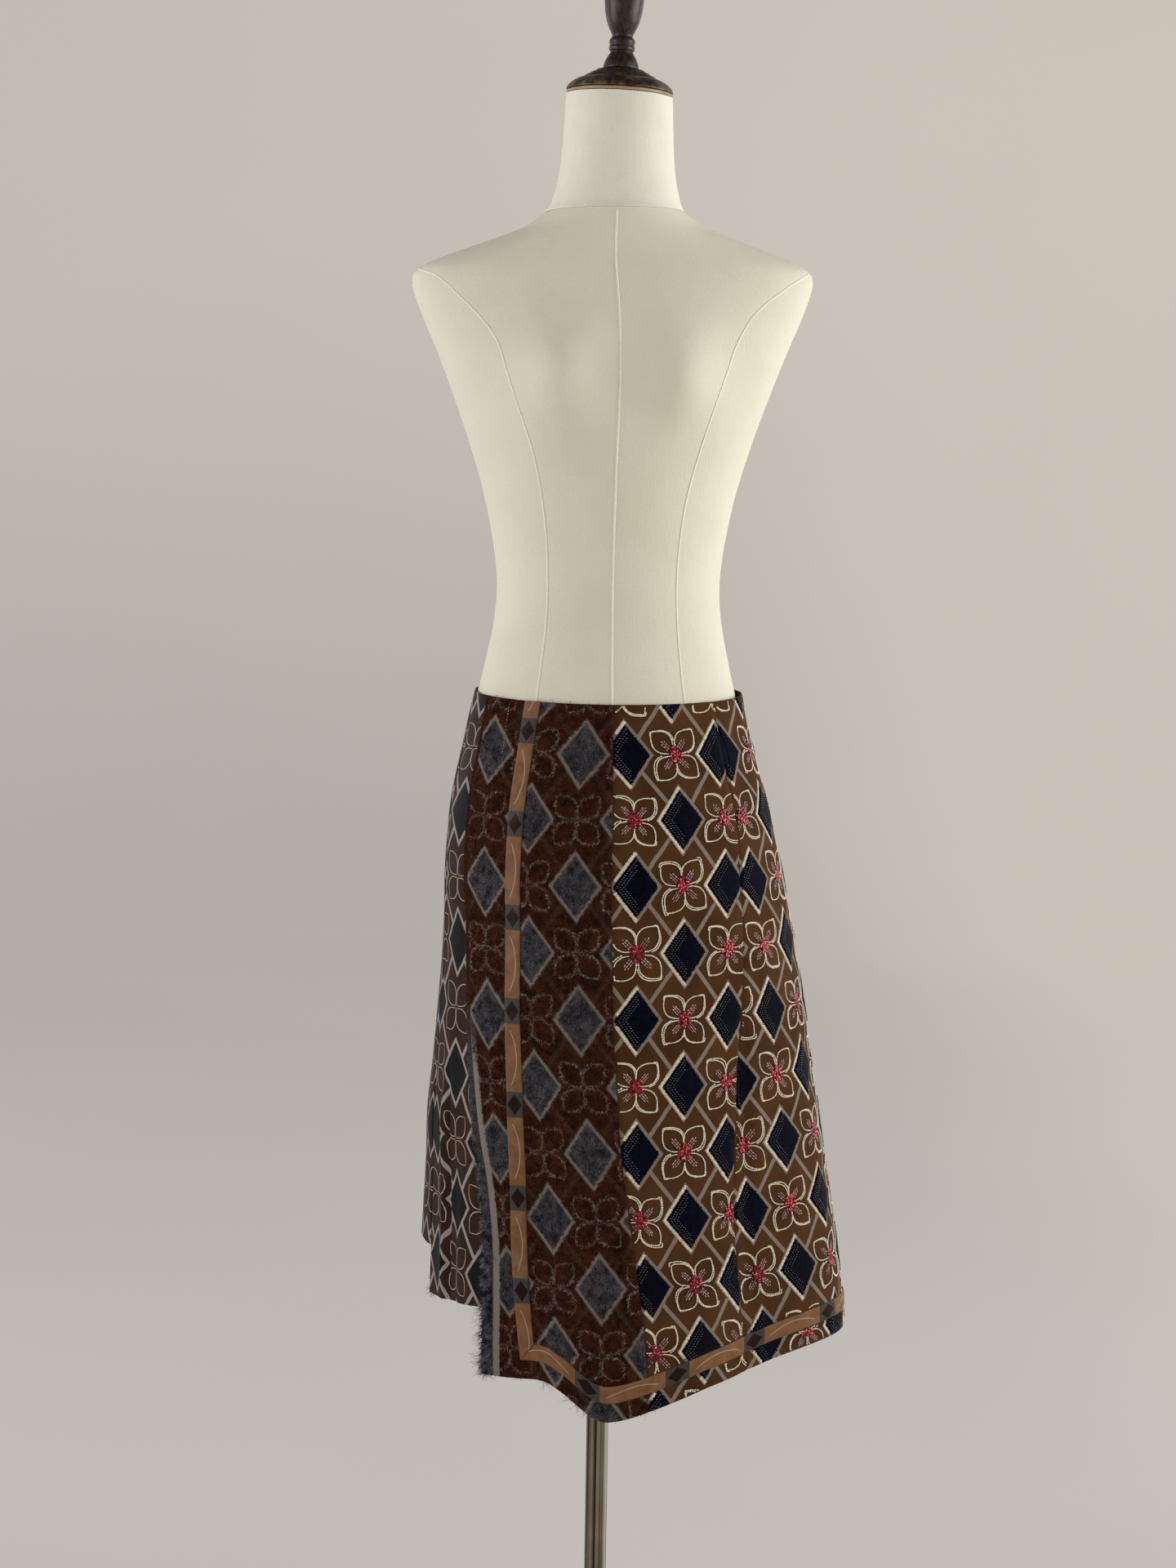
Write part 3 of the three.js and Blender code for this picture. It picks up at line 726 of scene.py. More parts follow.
def creaseDepth(angle, z):
    total = np.zeros(np.broadcast(angle, z).shape)
    for top, bottom, width, depth in creases:
        t = (top[1] - z) / (top[1] - bottom[1])
        middle = top[0] + (bottom[0] - top[0]) * t
        fade = ease(t, -0.15, 0.25) * (1 - ease(t, 0.75, 1.15))
        total = total + depth * fade * np.exp(-(((angle - middle) / width) ** 2))
    return total


def unevenness(across, down, seed, size):
    # a low, slow waviness that no cloth is without
    rng = np.random.default_rng(seed)
    total = np.zeros(np.shape(across))
    for wave in np.linspace(38, 130, 7):
        turn, start = rng.uniform(0, 2 * np.pi, 2)
        total = total + np.sin((across * np.cos(turn) + down * np.sin(turn) * 0.6) * 2 * np.pi / wave + start)
    return size * total / 7


def linkPiece(name, mesh):
    piece = linked(name, mesh)
    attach(piece, "root")
    return piece


def addPiece(name, vertices, faces, finishName, uv=None, sharp=40, fields=None):
    mesh = bpy.data.meshes.new(name)
    mesh.from_pydata((np.asarray(vertices) * mm).tolist(), [], faces)
    if uv is not None:
        layer = mesh.uv_layers.new(name="cloth")
        loops = np.empty(len(mesh.loops), int)
        mesh.loops.foreach_get("vertex_index", loops)
        layer.data.foreach_set("uv", (np.asarray(uv)[loops] * [0.01, -0.01]).ravel())
    mesh.polygons.foreach_set("use_smooth", [True] * len(mesh.polygons))
    if sharp:
        mesh.set_sharp_from_angle(angle=math.radians(sharp))
    for key, field in (fields or {}).items():
        mesh.attributes.new(key, "FLOAT", "POINT").data.foreach_set("value", field.ravel())
    mesh.materials.append(finishes[finishName])
    return linkPiece(name, mesh)


def shellFaces(rows, columns):
    # a closed thin wall: an outer grid, then an inner one
    wide, back = columns + 1, (columns + 1) * (rows + 1)
    faces = []
    for a in (j * wide + i for j in range(rows) for i in range(columns)):
        faces.append((a, a + wide, a + wide + 1, a + 1))
        faces.append((back + a, back + a + 1, back + a + wide + 1, back + a + wide))
    for a, low in ((i, rows * wide + i) for i in range(columns)):
        faces += [(a, a + 1, back + a + 1, back + a), (low, back + low, back + low + 1, low + 1)]
    for a, b in ((j * wide, j * wide + columns) for j in range(rows)):
        faces += [(a, back + a, back + a + wide, a + wide), (b, b + wide, back + b + wide, back + b)]
    return faces


def ringFaces(rings, columns):
    # the faces between rings, one above the other, and then both ends, round two points that come last
    pairs = [(i, (i + 1) % columns) for i in range(columns)]
    faces = []
    for j in range(0, (rings - 1) * columns, columns):
        faces += [(j + a, j + b, j + b + columns, j + a + columns) for a, b in pairs]
    last, top = rings * columns, (rings - 1) * columns
    for a, b in pairs:
        faces += [(last, b, a), (last + 1, top + a, top + b)]
    return faces


def addWall(name, node, outer, inner, across, down, finishName, sharp=40, fields=None):
    # a thin closed wall between two grids of points
    faces = shellFaces(outer.shape[0] - 1, outer.shape[1] - 1)
    uv = np.tile(np.stack([across, down], -1).reshape(-1, 2), (2, 1))
    walls = np.concatenate([outer.reshape(-1, 3), inner.reshape(-1, 3)])
    piece = addPiece(name, walls, faces, finishName, uv, sharp, fields)
    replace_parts(piece, node)
    return piece


seamShape = {"edge": [0, 0.7, 1.6, 2.8, 4.4], "hem": (3.6, 2.0, 0.8), "pull": 0.9, "long": 660, "measuredAt": 500.0}
panels = {}


def makePanel(name, node, start, end, hem, finishName, middle=None, step=4.0, lifted=False,
              seams=(True, True), seed=1, wave=0.5, banded=False):
    # columns hold a share of the way from start to end, and millimetres in from one of them
    middle = middle or halfway(start, end)
    edge, long = seamShape["edge"], seamShape["long"]
    waist = np.array([seamShape["measuredAt"]])
    wide = (lookUp(girth, end(waist), waist) - lookUp(girth, start(waist), waist))[0]
    inner = max(2, int(wide / step))
    columns = [(0, e) for e in edge] + [(k / inner, edge[-1] * (1 - 2 * k / inner)) for k in range(1, inner)]
    columns += [(1, -e) for e in reversed(edge)]
    shares, insets = (np.array(column) for column in zip(*columns))
    rows = np.concatenate([np.linspace(0, 1, int(long / step))[:-1], [1 - r / long for r in seamShape["hem"]], [1]])
    rows = np.unique(rows)[:, None]
    z = np.full((len(rows), len(shares)), 700.0)
    for _ in range(8):
        a, b = start(z), end(z)
        angle = a + (b - a) * shares + insets / perDegree((a + b) / 2, z)
        z = waistHeight(angle) * (1 - rows) + hem(angle) * rows
    across, down = clothUv(angle, z, middle)

    def surface(angle, z):
        # the outer face, with its waves and creases, and the way it faces
        across, down = clothUv(angle, z, middle)
        free = 1 - ease(z, *skirt["hips"])  # nothing is pushed in where the cloth lies on the hips
        out = unevenness(across, down, seed, wave) * free + creaseDepth(angle, z)
        for isSeam, away in zip(seams, (angle - start(z), end(z) - angle)):
            if isSeam:
                pull = np.exp(-((away * perDegree(angle, z) / 1.8) ** 2)) * (1 - ease(z, 940, 985))
                out = out - seamShape["pull"] * pull
        if lifted:
            out = out + lapLift(angle, z)
        normal = skirtOut(angle, z)
        return skirtFace(angle, z) + normal * out[..., None], normal

    place, normal = surface(angle, z)
    fromEdge = np.tile(((angle - start(z)) * perDegree(angle, z)).ravel(), 2)
    piece = addWall(name, node, place, place - normal * skirt["wall"], across, down, finishName,
                    fields={"fromEdge": fromEdge})
    piece.data.materials.append(finishes["lining"])
    inside = np.zeros(len(piece.data.polygons), int)
    inside[1:2 * (len(rows) - 1) * (len(shares) - 1):2] = 1
    piece.data.polygons.foreach_set("material_index", inside)
    down, across = (np.linalg.norm(np.diff(place, axis=axis), axis=2) for axis in (0, 1))
    panels[name] = {
        "piece": piece, "start": start, "end": end, "hem": hem, "middle": middle, "banded": banded,
        "flat": (float(across.sum(1).max()) * mm, float(down.sum(0).max()) * mm),
        "area": float((down[:, :-1] * across[:-1]).sum()) * mm * mm, "with": [], "surface": surface,
    }


def upright(angle):
    return lambda z: np.full(np.shape(z), float(angle))


def halfway(first, second):
    return lambda z: (first(z) + second(z)) / 2


def pileLine(z):
    angle = lapLine(z)
    return angle + pileWidth(z) / perDegree(angle, z)


def underLine(z):
    return lapLine(z) + skirt["lapUnder"]


rightSeam, leftSeam = upright(skirt["rightSeam"]), upright(skirt["leftSeam"])
makePanel("lapPanel", "front_lap_panel", pileLine, centreLine, frontHem, "pile",
          halfway(lapLine, centreLine), lifted=True, seams=(False, True), seed=11, banded=True)
makePanel("pileEdge", "side_pile_edge", lapLine, pileLine, frontHem, "greyPile", lapLine,
          lifted=True, seams=(False, False), seed=12, wave=0.3)
makePanel("frontPanel", "front_right_panel", centreLine, sideFrontLine, frontHem, "embroidered",
          seed=13, step=3.2, banded=True)
makePanel("sidePanel", "side_right_panel", sideFrontLine, rightSeam, frontHem, "embroidered",
          seed=14, step=3.6, wave=0.6, banded=True)
makePanel("backRightPanel", "back_right_panel", rightSeam, upright(180), frontHem, "printed",
          seed=15, wave=0.9)
makePanel("backLeftPanel", "back_left_panel", upright(-180), leftSeam, backHem, "printed",
          seed=16, wave=0.9)
makePanel("underPanel", "side_left_panel", leftSeam, underLine, sideHem, "printed",
          seams=(True, False), seed=17, wave=0.7)
print("skirt panels:", len(panels))

# the satin band, down the lap and round the hem

band = {
    "width": 16, "margin": 18, "thick": 1.0, "gap": 0.4, "mitreGap": 0.1, "top": 971.4, "rows": 214, "hemColumns": 190,
    "hemStart": 662,  # where its pattern goes on, in millimetres from the waist
    "shares": np.array([0, 0.04, 0.12, 0.3, 0.5, 0.7, 0.88, 0.96, 1.0]),
}


def makeBand(name, node, across, along, angle, z):
    # a flat strip with round edges and slight puckers, from millimetres across and along it
    across = across + 0 * z
    profile = 0.35 + 0.65 * np.sqrt(np.clip(1 - np.abs(2 * across / band["width"] - 1) ** 6, 0, 1))
    pucker = 0.3 * np.sin(along / 4.1 + across * 0.21) * np.sin(along / 23) + 0.2 * np.sin(along / 2.3 + across * 0.35)
    lift = lapLift(angle, z) + creaseDepth(angle, z) + 0.15 + band["gap"]
    face, normal = skirtFace(angle, z), skirtOut(angle, z)
    outer = face + normal * (lift + band["thick"] * profile + pucker * profile)[..., None]
    inner = face + normal * lift[..., None]
    piece = addWall(name, node, outer, inner, across, along, "band", 60)
    rows, columns = across.shape
    middle = outer[:, columns // 2] if rows > columns else outer[rows // 2]
    return piece, float(np.linalg.norm(np.diff(middle, axis=0), axis=1).sum()) * mm


mitreFoot = hemRise(bandLine(np.array([350.0])), band["margin"], frontHem)[0]
shares = band["shares"][None, :] * band["width"]
downShares = np.linspace(0, 1, band["rows"])[:, None]
z = band["top"] * (1 - downShares) + (mitreFoot + band["mitreGap"] + shares) * downShares
lapBandPiece, lapBandLong = makeBand(
    "lapBand", "lap_band", shares, band["top"] - z, bandLine(z) + shares / perDegree(bandLine(z), z), z)

startAngle = bandLine(mitreFoot)
risen = band["width"] * (1 - band["shares"][:, None])
corner = startAngle + risen / perDegree(startAngle, mitreFoot)
angle = corner + (skirt["rightSeam"] - 0.1 - corner) * np.linspace(0, 1, band["hemColumns"])
z = hemRise(angle, band["margin"] + risen, frontHem)
along = lookUp(girth, angle, z) - lookUp(girth, np.full(angle.shape, startAngle), z) + band["hemStart"]
hemBandPiece, hemBandLong = makeBand("hemBand", "hem_band", risen, along, angle, z)
print("bands laid")

# what is sewn on: trees that lay stitches, threads and small cones along paths or at points


def growTree(name, inputs, build):
    tree = bpy.data.node_groups.new(name, "GeometryNodeTree")
    sockets = {"Guide": "Geometry", **inputs, "Seed": "Int", "Finish": "Material"}
    for label, kind in sockets.items():
        tree.interface.new_socket(label, in_out="INPUT", socket_type="NodeSocket" + kind)
    tree.interface.new_socket("Made", in_out="OUTPUT", socket_type="NodeSocketGeometry")
    entry, end = tree.nodes.new("NodeGroupInput"), tree.nodes.new("NodeGroupOutput")
    given = {label: Wire(tree, entry.outputs[label]) for label in sockets}
    node = Wire(tree).node
    made = node("GeometryNodeRealizeInstances", None, {0: build(node, given)})
    made = node("GeometryNodeSetShadeSmooth", None, {0: made, 2: True})
    made = node("GeometryNodeSetMaterial", None, {0: made, 2: given["Finish"]})
    tree.links.new(made.socket, end.inputs[0])
    return tree


def readField(node, kind, name):
    return node("GeometryNodeInputNamedAttribute", {"data_type": kind}, {0: name})


def chanceOf(node, given, low, high):
    return node("FunctionNodeRandomValue", {"data_type": "FLOAT"}, {2: low, 3: high, 8: given["Seed"]}, 1)


def spun(node, rotation, angle):
    # turned further, round its own z axis
    spin = node("FunctionNodeAxisAngleToRotation", None, {0: (0, 0, 1), 1: angle})
    return node("FunctionNodeRotateRotation", {"rotation_space": "LOCAL"}, {0: rotation, 1: spin})


def buildStitches(node, given):
    # short fat stitches laid end to end along each path, or across it
    curve = node("GeometryNodeMeshToCurve", None, {0: given["Guide"]})
    points = node("GeometryNodeCurveToPoints", {"mode": "LENGTH"}, {0: curve, 2: given["Step"]})
    tangent = Wire(points.tree, points.socket.node.outputs[1])
    along = node("FunctionNodeAlignRotationToVector", {"axis": "X"}, {2: tangent})
    facing = readField(node, "FLOAT_VECTOR", "faceOut")
    stood = node("FunctionNodeAlignRotationToVector", {"axis": "Z", "pivot_axis": "X"}, {0: along, 2: facing})
    turned = spun(node, stood, chanceOf(node, given, -0.16, 0.16))
    stitch = node("GeometryNodeMeshIcoSphere", None, {0: 0.5, 1: given["Detail"]})
    size = {0: given["Size"], 3: chanceOf(node, given, 0.86, 1.12)}
    size = node("ShaderNodeVectorMath", {"operation": "SCALE"}, size)
    return node("GeometryNodeInstanceOnPoints", None, {0: points, 2: stitch, 5: turned, 6: size})


def buildThreads(node, given):
    # a round thread along each path, as thick at each point as the path says
    curve = node("GeometryNodeMeshToCurve", None, {0: given["Guide"]})
    ring = node("GeometryNodeCurvePrimitiveCircle", None, {0: given["Sides"], 4: given["Radius"]})
    return node("GeometryNodeCurveToMesh", None, {0: curve, 1: ring, 2: readField(node, "FLOAT", "thick"), 3: True})


def buildCones(node, given):
    # small cones, which are fibres when long and sequins when flat
    stood = node("FunctionNodeAlignRotationToVector", {"axis": "Z"}, {2: readField(node, "FLOAT_VECTOR", "lay")})
    turned = spun(node, stood, chanceOf(node, given, 0.0, 6.2832))
    shape = {0: given["Sides"], 3: given["Tip"], 4: given["Foot"], 5: given["Length"]}
    cone = node("GeometryNodeMeshCone", None, shape)
    points = node("GeometryNodeMeshToPoints", None, {0: given["Guide"]})
    size = readField(node, "FLOAT", "size")
    return node("GeometryNodeInstanceOnPoints", None, {0: points, 2: cone, 5: turned, 6: size})


stitchTree = growTree("stitches", {"Step": "Float", "Size": "Vector", "Detail": "Int"}, buildStitches)
threadTree = growTree("threads", {"Radius": "Float", "Sides": "Int"}, buildThreads)
coneTree = growTree("cones", {"Sides": "Int", "Tip": "Float", "Foot": "Float", "Length": "Float"}, buildCones)


def grow(name, points, edges, fields, tree, values, finishName, carrier=None):
    guideMesh = bpy.data.meshes.new(name + "Guide")
    guideMesh.from_pydata((points * mm).tolist(), edges, [])
    for key, field in fields.items():
        kind, part = ("FLOAT_VECTOR", "vector") if field.ndim == 2 else ("FLOAT", "value")
        guideMesh.attributes.new(key, kind, "POINT").data.foreach_set(part, field.ravel())
    guide = linked(name + "Guide", guideMesh)
    modifier = guide.modifiers.new("grow", "NODES")
    modifier.node_group = tree
    sockets = {item.name: item.identifier for item in tree.interface.items_tree if item.in_out == "INPUT"}
    for key, value in {**values, "Finish": finishes[finishName]}.items():
        modifier[sockets[key]] = value
    grown = bpy.data.meshes.new_from_object(guide.evaluated_get(bpy.context.evaluated_depsgraph_get()))
    bpy.data.objects.remove(guide)
    grown.name = name
    linkPiece(name, grown)
    if carrier:
        panels[carrier]["with"].append(name)
    print(name, "faces", len(grown.polygons))


def room(panel, angle, z):
    # millimetres of cloth left on each side of a place, and from the band, least of all
    reachHere = perDegree(angle, z)
    low = panel["hem"](angle)
    rise = lookUp(drop, angle, low) - lookUp(drop, angle, z)
    left = (angle - panel["start"](z)) * reachHere
    right = (panel["end"](z) - angle) * reachHere
    spare = np.minimum.reduce([left, right, rise, (waistHeight(angle) - z)])
    if panel["banded"]:
        past = (angle - bandLine(z)) * reachHere
        onLap = np.maximum(-past, past - band["width"])
        onHem = np.maximum(band["margin"] - rise, rise - band["margin"] - band["width"])
        onHem = np.where(past > 0, onHem, 99)
        spare = np.minimum(spare, np.minimum(onLap, onHem))
    return spare


def onCloth(panelName, flat, margin):
    # the angle and height of places on a panel, and which of them it has room for
    panel = panels[panelName]
    angle, z = clothPlace(flat[:, 0], flat[:, 1], panel["middle"])
    across, down = clothUv(angle, z, panel["middle"])
    kept = np.hypot(across - flat[:, 0], down - flat[:, 1]) < 0.5
    return panel["surface"], angle, z, kept & (room(panel, angle, z) > margin)


def laidPoints(panelName, flat, lift, margin, rng):
    surface, angle, z, kept = onCloth(panelName, flat, margin)
    place, normal = surface(angle[kept], z[kept])
    return place + normal * lift, normal, rng.uniform(0.85, 1.15, kept.sum())


def laidPaths(panelName, paths, lift, margin):
    # paths across and down the cloth, put on its surface and cut where the cloth ends
    flat = np.concatenate(paths)
    owner = np.repeat(np.arange(len(paths)), [len(path) for path in paths])
    surface, angle, z, kept = onCloth(panelName, flat, margin)
    place, normal = surface(angle, z)
    starts = np.nonzero((owner[1:] == owner[:-1]) & kept[1:] & kept[:-1])[0]
    used = np.unique(np.concatenate([starts, starts + 1]))
    number = np.full(len(flat), -1)
    number[used] = np.arange(len(used))
    return (place + normal * lift)[used], normal[used], np.stack([number[starts], number[starts + 1]], 1).tolist()


def panelReach(panelName):
    # how far a panel reaches across its cloth
    panel = panels[panelName]
    z = np.linspace(300, 980, 60)
    return (float(end(clothUv(panel[side](z), z, panel["middle"])[0])) for side, end in (("start", min), ("end", max)))


def cells(panelName, half, seed):
    # middles of the trellis's cells, or of its knots, and a draw of chance for each
    rng = np.random.default_rng(seed)
    left, right = panelReach(panelName)
    for i in range(-2, 16):
        for j in range(-16, 3):
            across = (i + j + 2 * half) * trellis["width"] / 2
            down = (i - j) * trellis["height"] / 2
            chance = rng.normal(0, 1, 6)
            if left - 30 < across < right + 30 and -20 < down < trellis["long"] + 20:
                yield across, down, chance


def turnedPath(path, across, down, degrees, size=1.0):
    sin, cos = math.sin(math.radians(degrees)), math.cos(math.radians(degrees))
    x, y = (path * size).T
    return np.stack([across + x * cos - y * sin, down + x * sin + y * cos], -1)


def petalPath(lean, grown=0.0, start=0.0, end=2.0, samples=40):
    # out along one side of the petal and back along the other
    s = np.linspace(start, end, samples)
    along = np.where(s < 1, s, 2 - s)
    bow = (flower["half"] + grown) * 4 * along * (1 - along) * np.where(s < 1, 1, -1)
    out = flower["foot"] - grown * 0.5 + (flower["length"] + grown) * along
    return turnedPath(np.stack([bow, -out], -1), 0, 0, lean)


needlework = {
    "outline": {"Step": 2.2 * mm, "Size": (3.0 * mm, 1.5 * mm, 1.2 * mm), "Detail": 1, "Seed": 3},
    "edgeBar": {"Step": 1.25 * mm, "Size": (1.45 * mm, 4.6 * mm, 1.1 * mm), "Detail": 1, "Seed": 5},
    "beadRow": {"Step": 2.5 * mm, "Size": (2.2 * mm, 2.2 * mm, 1.9 * mm), "Detail": 1, "Seed": 7},
    "accent": {"Step": 2.6 * mm, "Size": (3.4 * mm, 1.2 * mm, 0.9 * mm), "Detail": 1, "Seed": 9},
    "satinRow": {"Radius": 0.8 * mm, "Sides": 5},
    "sequin": {"Sides": 10, "Tip": 1.5 * mm, "Foot": 1.95 * mm, "Length": 0.4 * mm, "Seed": 4},
    "rowGap": 1.5,
    "wobble": 0.35,
    "wander": (0.09, 0.12),  # of the first outline, and of the second
    "second": (1.7, 0.3, 1.05, 18),  # how far outside the first, where it starts and ends, and its samples
    "accents": {"asides": (-2.0, 0, 2.0), "from": 8.5, "to": 17},
    "beadInsets": (0.83, 0.68, 0.53),
    "sequins": 24,
    "cluster": 8.2,
}


def embroider(panelName, seed):
    work = needlework
    rng = np.random.default_rng(seed)
    outlines, accents, discs, bars, beads, rows = [], [], [], [], [], []
    for across, down, chance in cells(panelName, 0.5, seed):
        pose = (across, down, chance[0] * 3.0, 1 + chance[1] * 0.03)
        for turn in flower["turns"]:
            for ring, wander in zip((petalPath(turn), petalPath(turn, *work["second"])), work["wander"]):
                outlines.append(turnedPath(ring + np.cumsum(rng.normal(0, wander, ring.shape), 0), *pose))
            for aside in work["accents"]["asides"]:
                reachOut = np.linspace(work["accents"]["from"], work["accents"]["to"] - abs(aside), 5)
                line = np.stack([np.full(5, aside), -reachOut], -1)
                accents.append(turnedPath(turnedPath(line, 0, 0, turn), *pose))
        for k in range(work["sequins"]):
            around, away = k * 2.4 + rng.normal(0, 0.3), work["cluster"] * math.sqrt((k + 0.5) / work["sequins"])
            discs.append((across + away * math.cos(around) * 0.8, down + away * math.sin(around)))
    halfWide, halfTall = trellis["width"] * trellis["knot"], trellis["height"] * trellis["knot"]
    for across, down, chance in cells(panelName, 0, seed + 1):
        edge = np.array([(0, -halfTall), (-halfWide, 0), (0, halfTall)]) * (1 + chance[0] * 0.02)
        line = np.concatenate([np.linspace(edge[i], edge[i + 1], 12)[i:] for i in (0, 1)])
        bars.append(line * 1.07 + (across, down))
        beads += [line * inset + (across + 0.6, down) for inset in work["beadInsets"]]
        for row in np.arange(-halfTall + 1.2, halfTall - 1.1, work["rowGap"]):
            reachRow = halfWide * (1 - abs(row) / halfTall)
            ends = np.array([-reachRow, reachRow]) + rng.normal(0, work["wobble"], 2)
            rows.append(np.stack([np.linspace(*ends, 6), np.full(6, row)], -1) + (across, down))
    for label, paths, key, lift, finishName, tree in (
        ("Outline", outlines, "outline", 0.35, "cream", stitchTree),
        ("Accent", accents, "accent", 0.25, "pink", stitchTree),
        ("EdgeBar", bars, "edgeBar", 0.35, "cream", stitchTree),
        ("Bead", beads, "beadRow", 1.2, "bead", stitchTree),
        ("SatinRow", rows, "satinRow", 0.0, "navy", threadTree),
    ):
        points, normals, edges = laidPaths(panelName, paths, lift, 1.5)
        fields = {"faceOut": normals, "thick": np.ones(len(points))}
        grow(panelName + label, points, edges, fields, tree, work[key], finishName, panelName)
    points, normals, size = laidPoints(panelName, np.array(discs), 0.8, 3.0, rng)
    fields = {"lay": normals + rng.normal(0, 0.16, normals.shape), "size": size}
    grow(panelName + "Sequin", points, [], fields, coneTree, work["sequin"], "sequin", panelName)


embroider("frontPanel", 21)
embroider("sidePanel", 31)
print("embroidery laid")

# pile and fur: fibres over the lap panel, longer ones along its raw edge

pileWork = {
    "fibre": {"Sides": 3, "Tip": 0.0, "Foot": 0.3 * mm, "Length": 3.0 * mm, "Seed": 2},
    "fibres": 56000,
    "wisp": {"Sides": 3, "Tip": 0.0, "Foot": 0.22 * mm, "Length": 3.6 * mm, "Seed": 8},
    "wisps": 90000,
    "nap": (0.5, 0.75, 0.33),  # outwards, downwards, and astray
    "tangle": (0.3, 0.35, 0.5),  # the same for the pale wisps
    "fur": {"Sides": 3, "Tip": 0.0, "Foot": 0.34 * mm, "Length": 6.2 * mm, "Seed": 6},
    "furs": 9000,
    "greyTop": 655,  # grey up to here and brown above
    "furLay": (0.45, 0.9, 0.7, 0.55, 0.3),  # outwards, sideways at the edge, less that inwards, downwards, astray
    "strip": 6.5,  # the width of the flat grey strip beside the fur, and the height it ends at
    "stripTop": 625,
    "strays": {"Radius": 0.16 * mm, "Sides": 3},
    "hairSteps": 7,
}


rng = np.random.default_rng(71)
left, right = panelReach("lapPanel")
count = pileWork["wisps"]
flat = np.stack([rng.uniform(left, right, count), rng.uniform(0, trellis["long"], count)], -1)
_, knot, inAcross, inDown = trellisPlace(flat[:, 0], flat[:, 1])
petal = np.minimum.reduce([np.where(abs(part) < 1.02, away, 99.0) for away, part in petals(inAcross, inDown)])
angle, z = clothPlace(flat[:, 0], flat[:, 1], panels["lapPanel"]["middle"])
isStrip = ((angle - pileLine(z)) * perDegree(angle, z) < pileWork["strip"]) & (z < pileWork["stripTop"])
isGrey = (knot < trellis["knot"]) & ~isStrip
isBare = (knot >= trellis["knot"]) & (knot < trellis["knot"] + trellis["rim"] * perMm) | isStrip
isPale = ~isGrey & ~isStrip & (petal + rng.normal(0, 0.55, count) < 1.3)
isFibre = np.arange(count) < pileWork["fibres"]
for label, chosen, finishName, key, nap in (
    ("Brown", isFibre & ~isGrey & ~isPale & ~isBare, "brownFibre", "fibre", "nap"),
    ("Grey", isFibre & isGrey, "greyFibre", "fibre", "nap"),
    ("Pale", isPale, "paleFibre", "wisp", "tangle"),
):
    outwards, downwards, astray = pileWork[nap]
    points, normals, size = laidPoints("lapPanel", flat[chosen], 0, 1.0, rng)
    lay = normals * outwards + np.array([0, 0, -downwards]) + rng.normal(0, astray, normals.shape)
    grow("pile" + label, points, [], {"lay": lay, "size": size}, coneTree, pileWork[key], finishName,
         "lapPanel")

# the fur of the raw edge stands out sideways past it
z = rng.uniform(300, 975, pileWork["furs"])
share = rng.uniform(0, 1, len(z)) ** 1.3
angle = lapLine(z) + (pileWidth(z) / perDegree(lapLine(z), z)) * share
keep = (z > frontHem(angle) + 1) & (z < waistHeight(angle) - 3)
angle, z, share = angle[keep], z[keep], share[keep]
points, normals = panels["pileEdge"]["surface"](angle, z)
sideways = unit(skirtFace(angle - 0.5, z) - skirtFace(angle + 0.5, z))
outwards, aside, lessAside, downwards, astray = pileWork["furLay"]
lay = normals * outwards + sideways * (aside - lessAside * share)[:, None] + [0, 0, -downwards]
lay = lay + rng.normal(0, astray, normals.shape)
size = rng.uniform(0.55, 1.2, len(z)) * (0.4 + 0.6 * ease(-z, -660, -400))
isGrey = z < pileWork["greyTop"] + rng.normal(0, 22, len(z))
for label, chosen, finishName in (("edgeFur", isGrey, "greyFibre"), ("edgePile", ~isGrey, "brownFibre")):
    fields = {"lay": lay[chosen], "size": size[chosen]}
    grow(label, (points - normals * 0.3)[chosen], [], fields, coneTree, pileWork["fur"], finishName,
         "pileEdge")


def strayHairs(name, anchors, finishName, panelName, upwards=-1.0):
    # single hairs: each anchor gives an angle, a height, which way it leans, its length, and how many
    points, edges, thick, steps = [], [], [], pileWork["hairSteps"]
    panel = panels[panelName]
    for angle, z, lean, length, many in anchors:
        for _ in range(many):
            here = angle + rng.normal(0, 1.2)
            low = max(z + rng.normal(0, 4), float(panel["hem"](np.array(here))) + 0.5)
            low = min(low, float(waistHeight(here)) - 0.5)
            place, normal = (found[0] for found in panel["surface"](np.array([here]), np.array([low])))
            aim = np.array([lean, 0, upwards]) + normal * 0.3 + rng.normal(0, 0.35, 3)
            curl = rng.normal(0, 0.22, 3)
            edges += [(len(points) + k, len(points) + k + 1) for k in range(steps - 1)]
            for k in range(steps):
                points.append(place)
                thick.append(1.0 - 0.8 * k / steps)
                aim = unit(aim) + curl
                place = place + unit(aim) * length * rng.uniform(0.8, 1.2) / steps
    grow(name, np.array(points), edges, {"thick": np.array(thick)}, threadTree, pileWork["strays"], finishName,
         panelName)


dart = {"top": (-47.9, 967), "foot": (-47.4, 922), "stitch": {
    "Step": 3.0 * mm, "Size": (1.8 * mm, 1.0 * mm, 0.8 * mm), "Detail": 1, "Seed": 13}}
z = np.linspace(dart["top"][1], dart["foot"][1], 16)
angle = np.linspace(dart["top"][0], dart["foot"][0], 16)
points, normals = panels["lapPanel"]["surface"](angle, z)
grow("dartStitch", points + normals * 0.5, [(k, k + 1) for k in range(15)], {"faceOut": normals}, stitchTree,
     dart["stitch"], "paleFibre", "lapPanel")

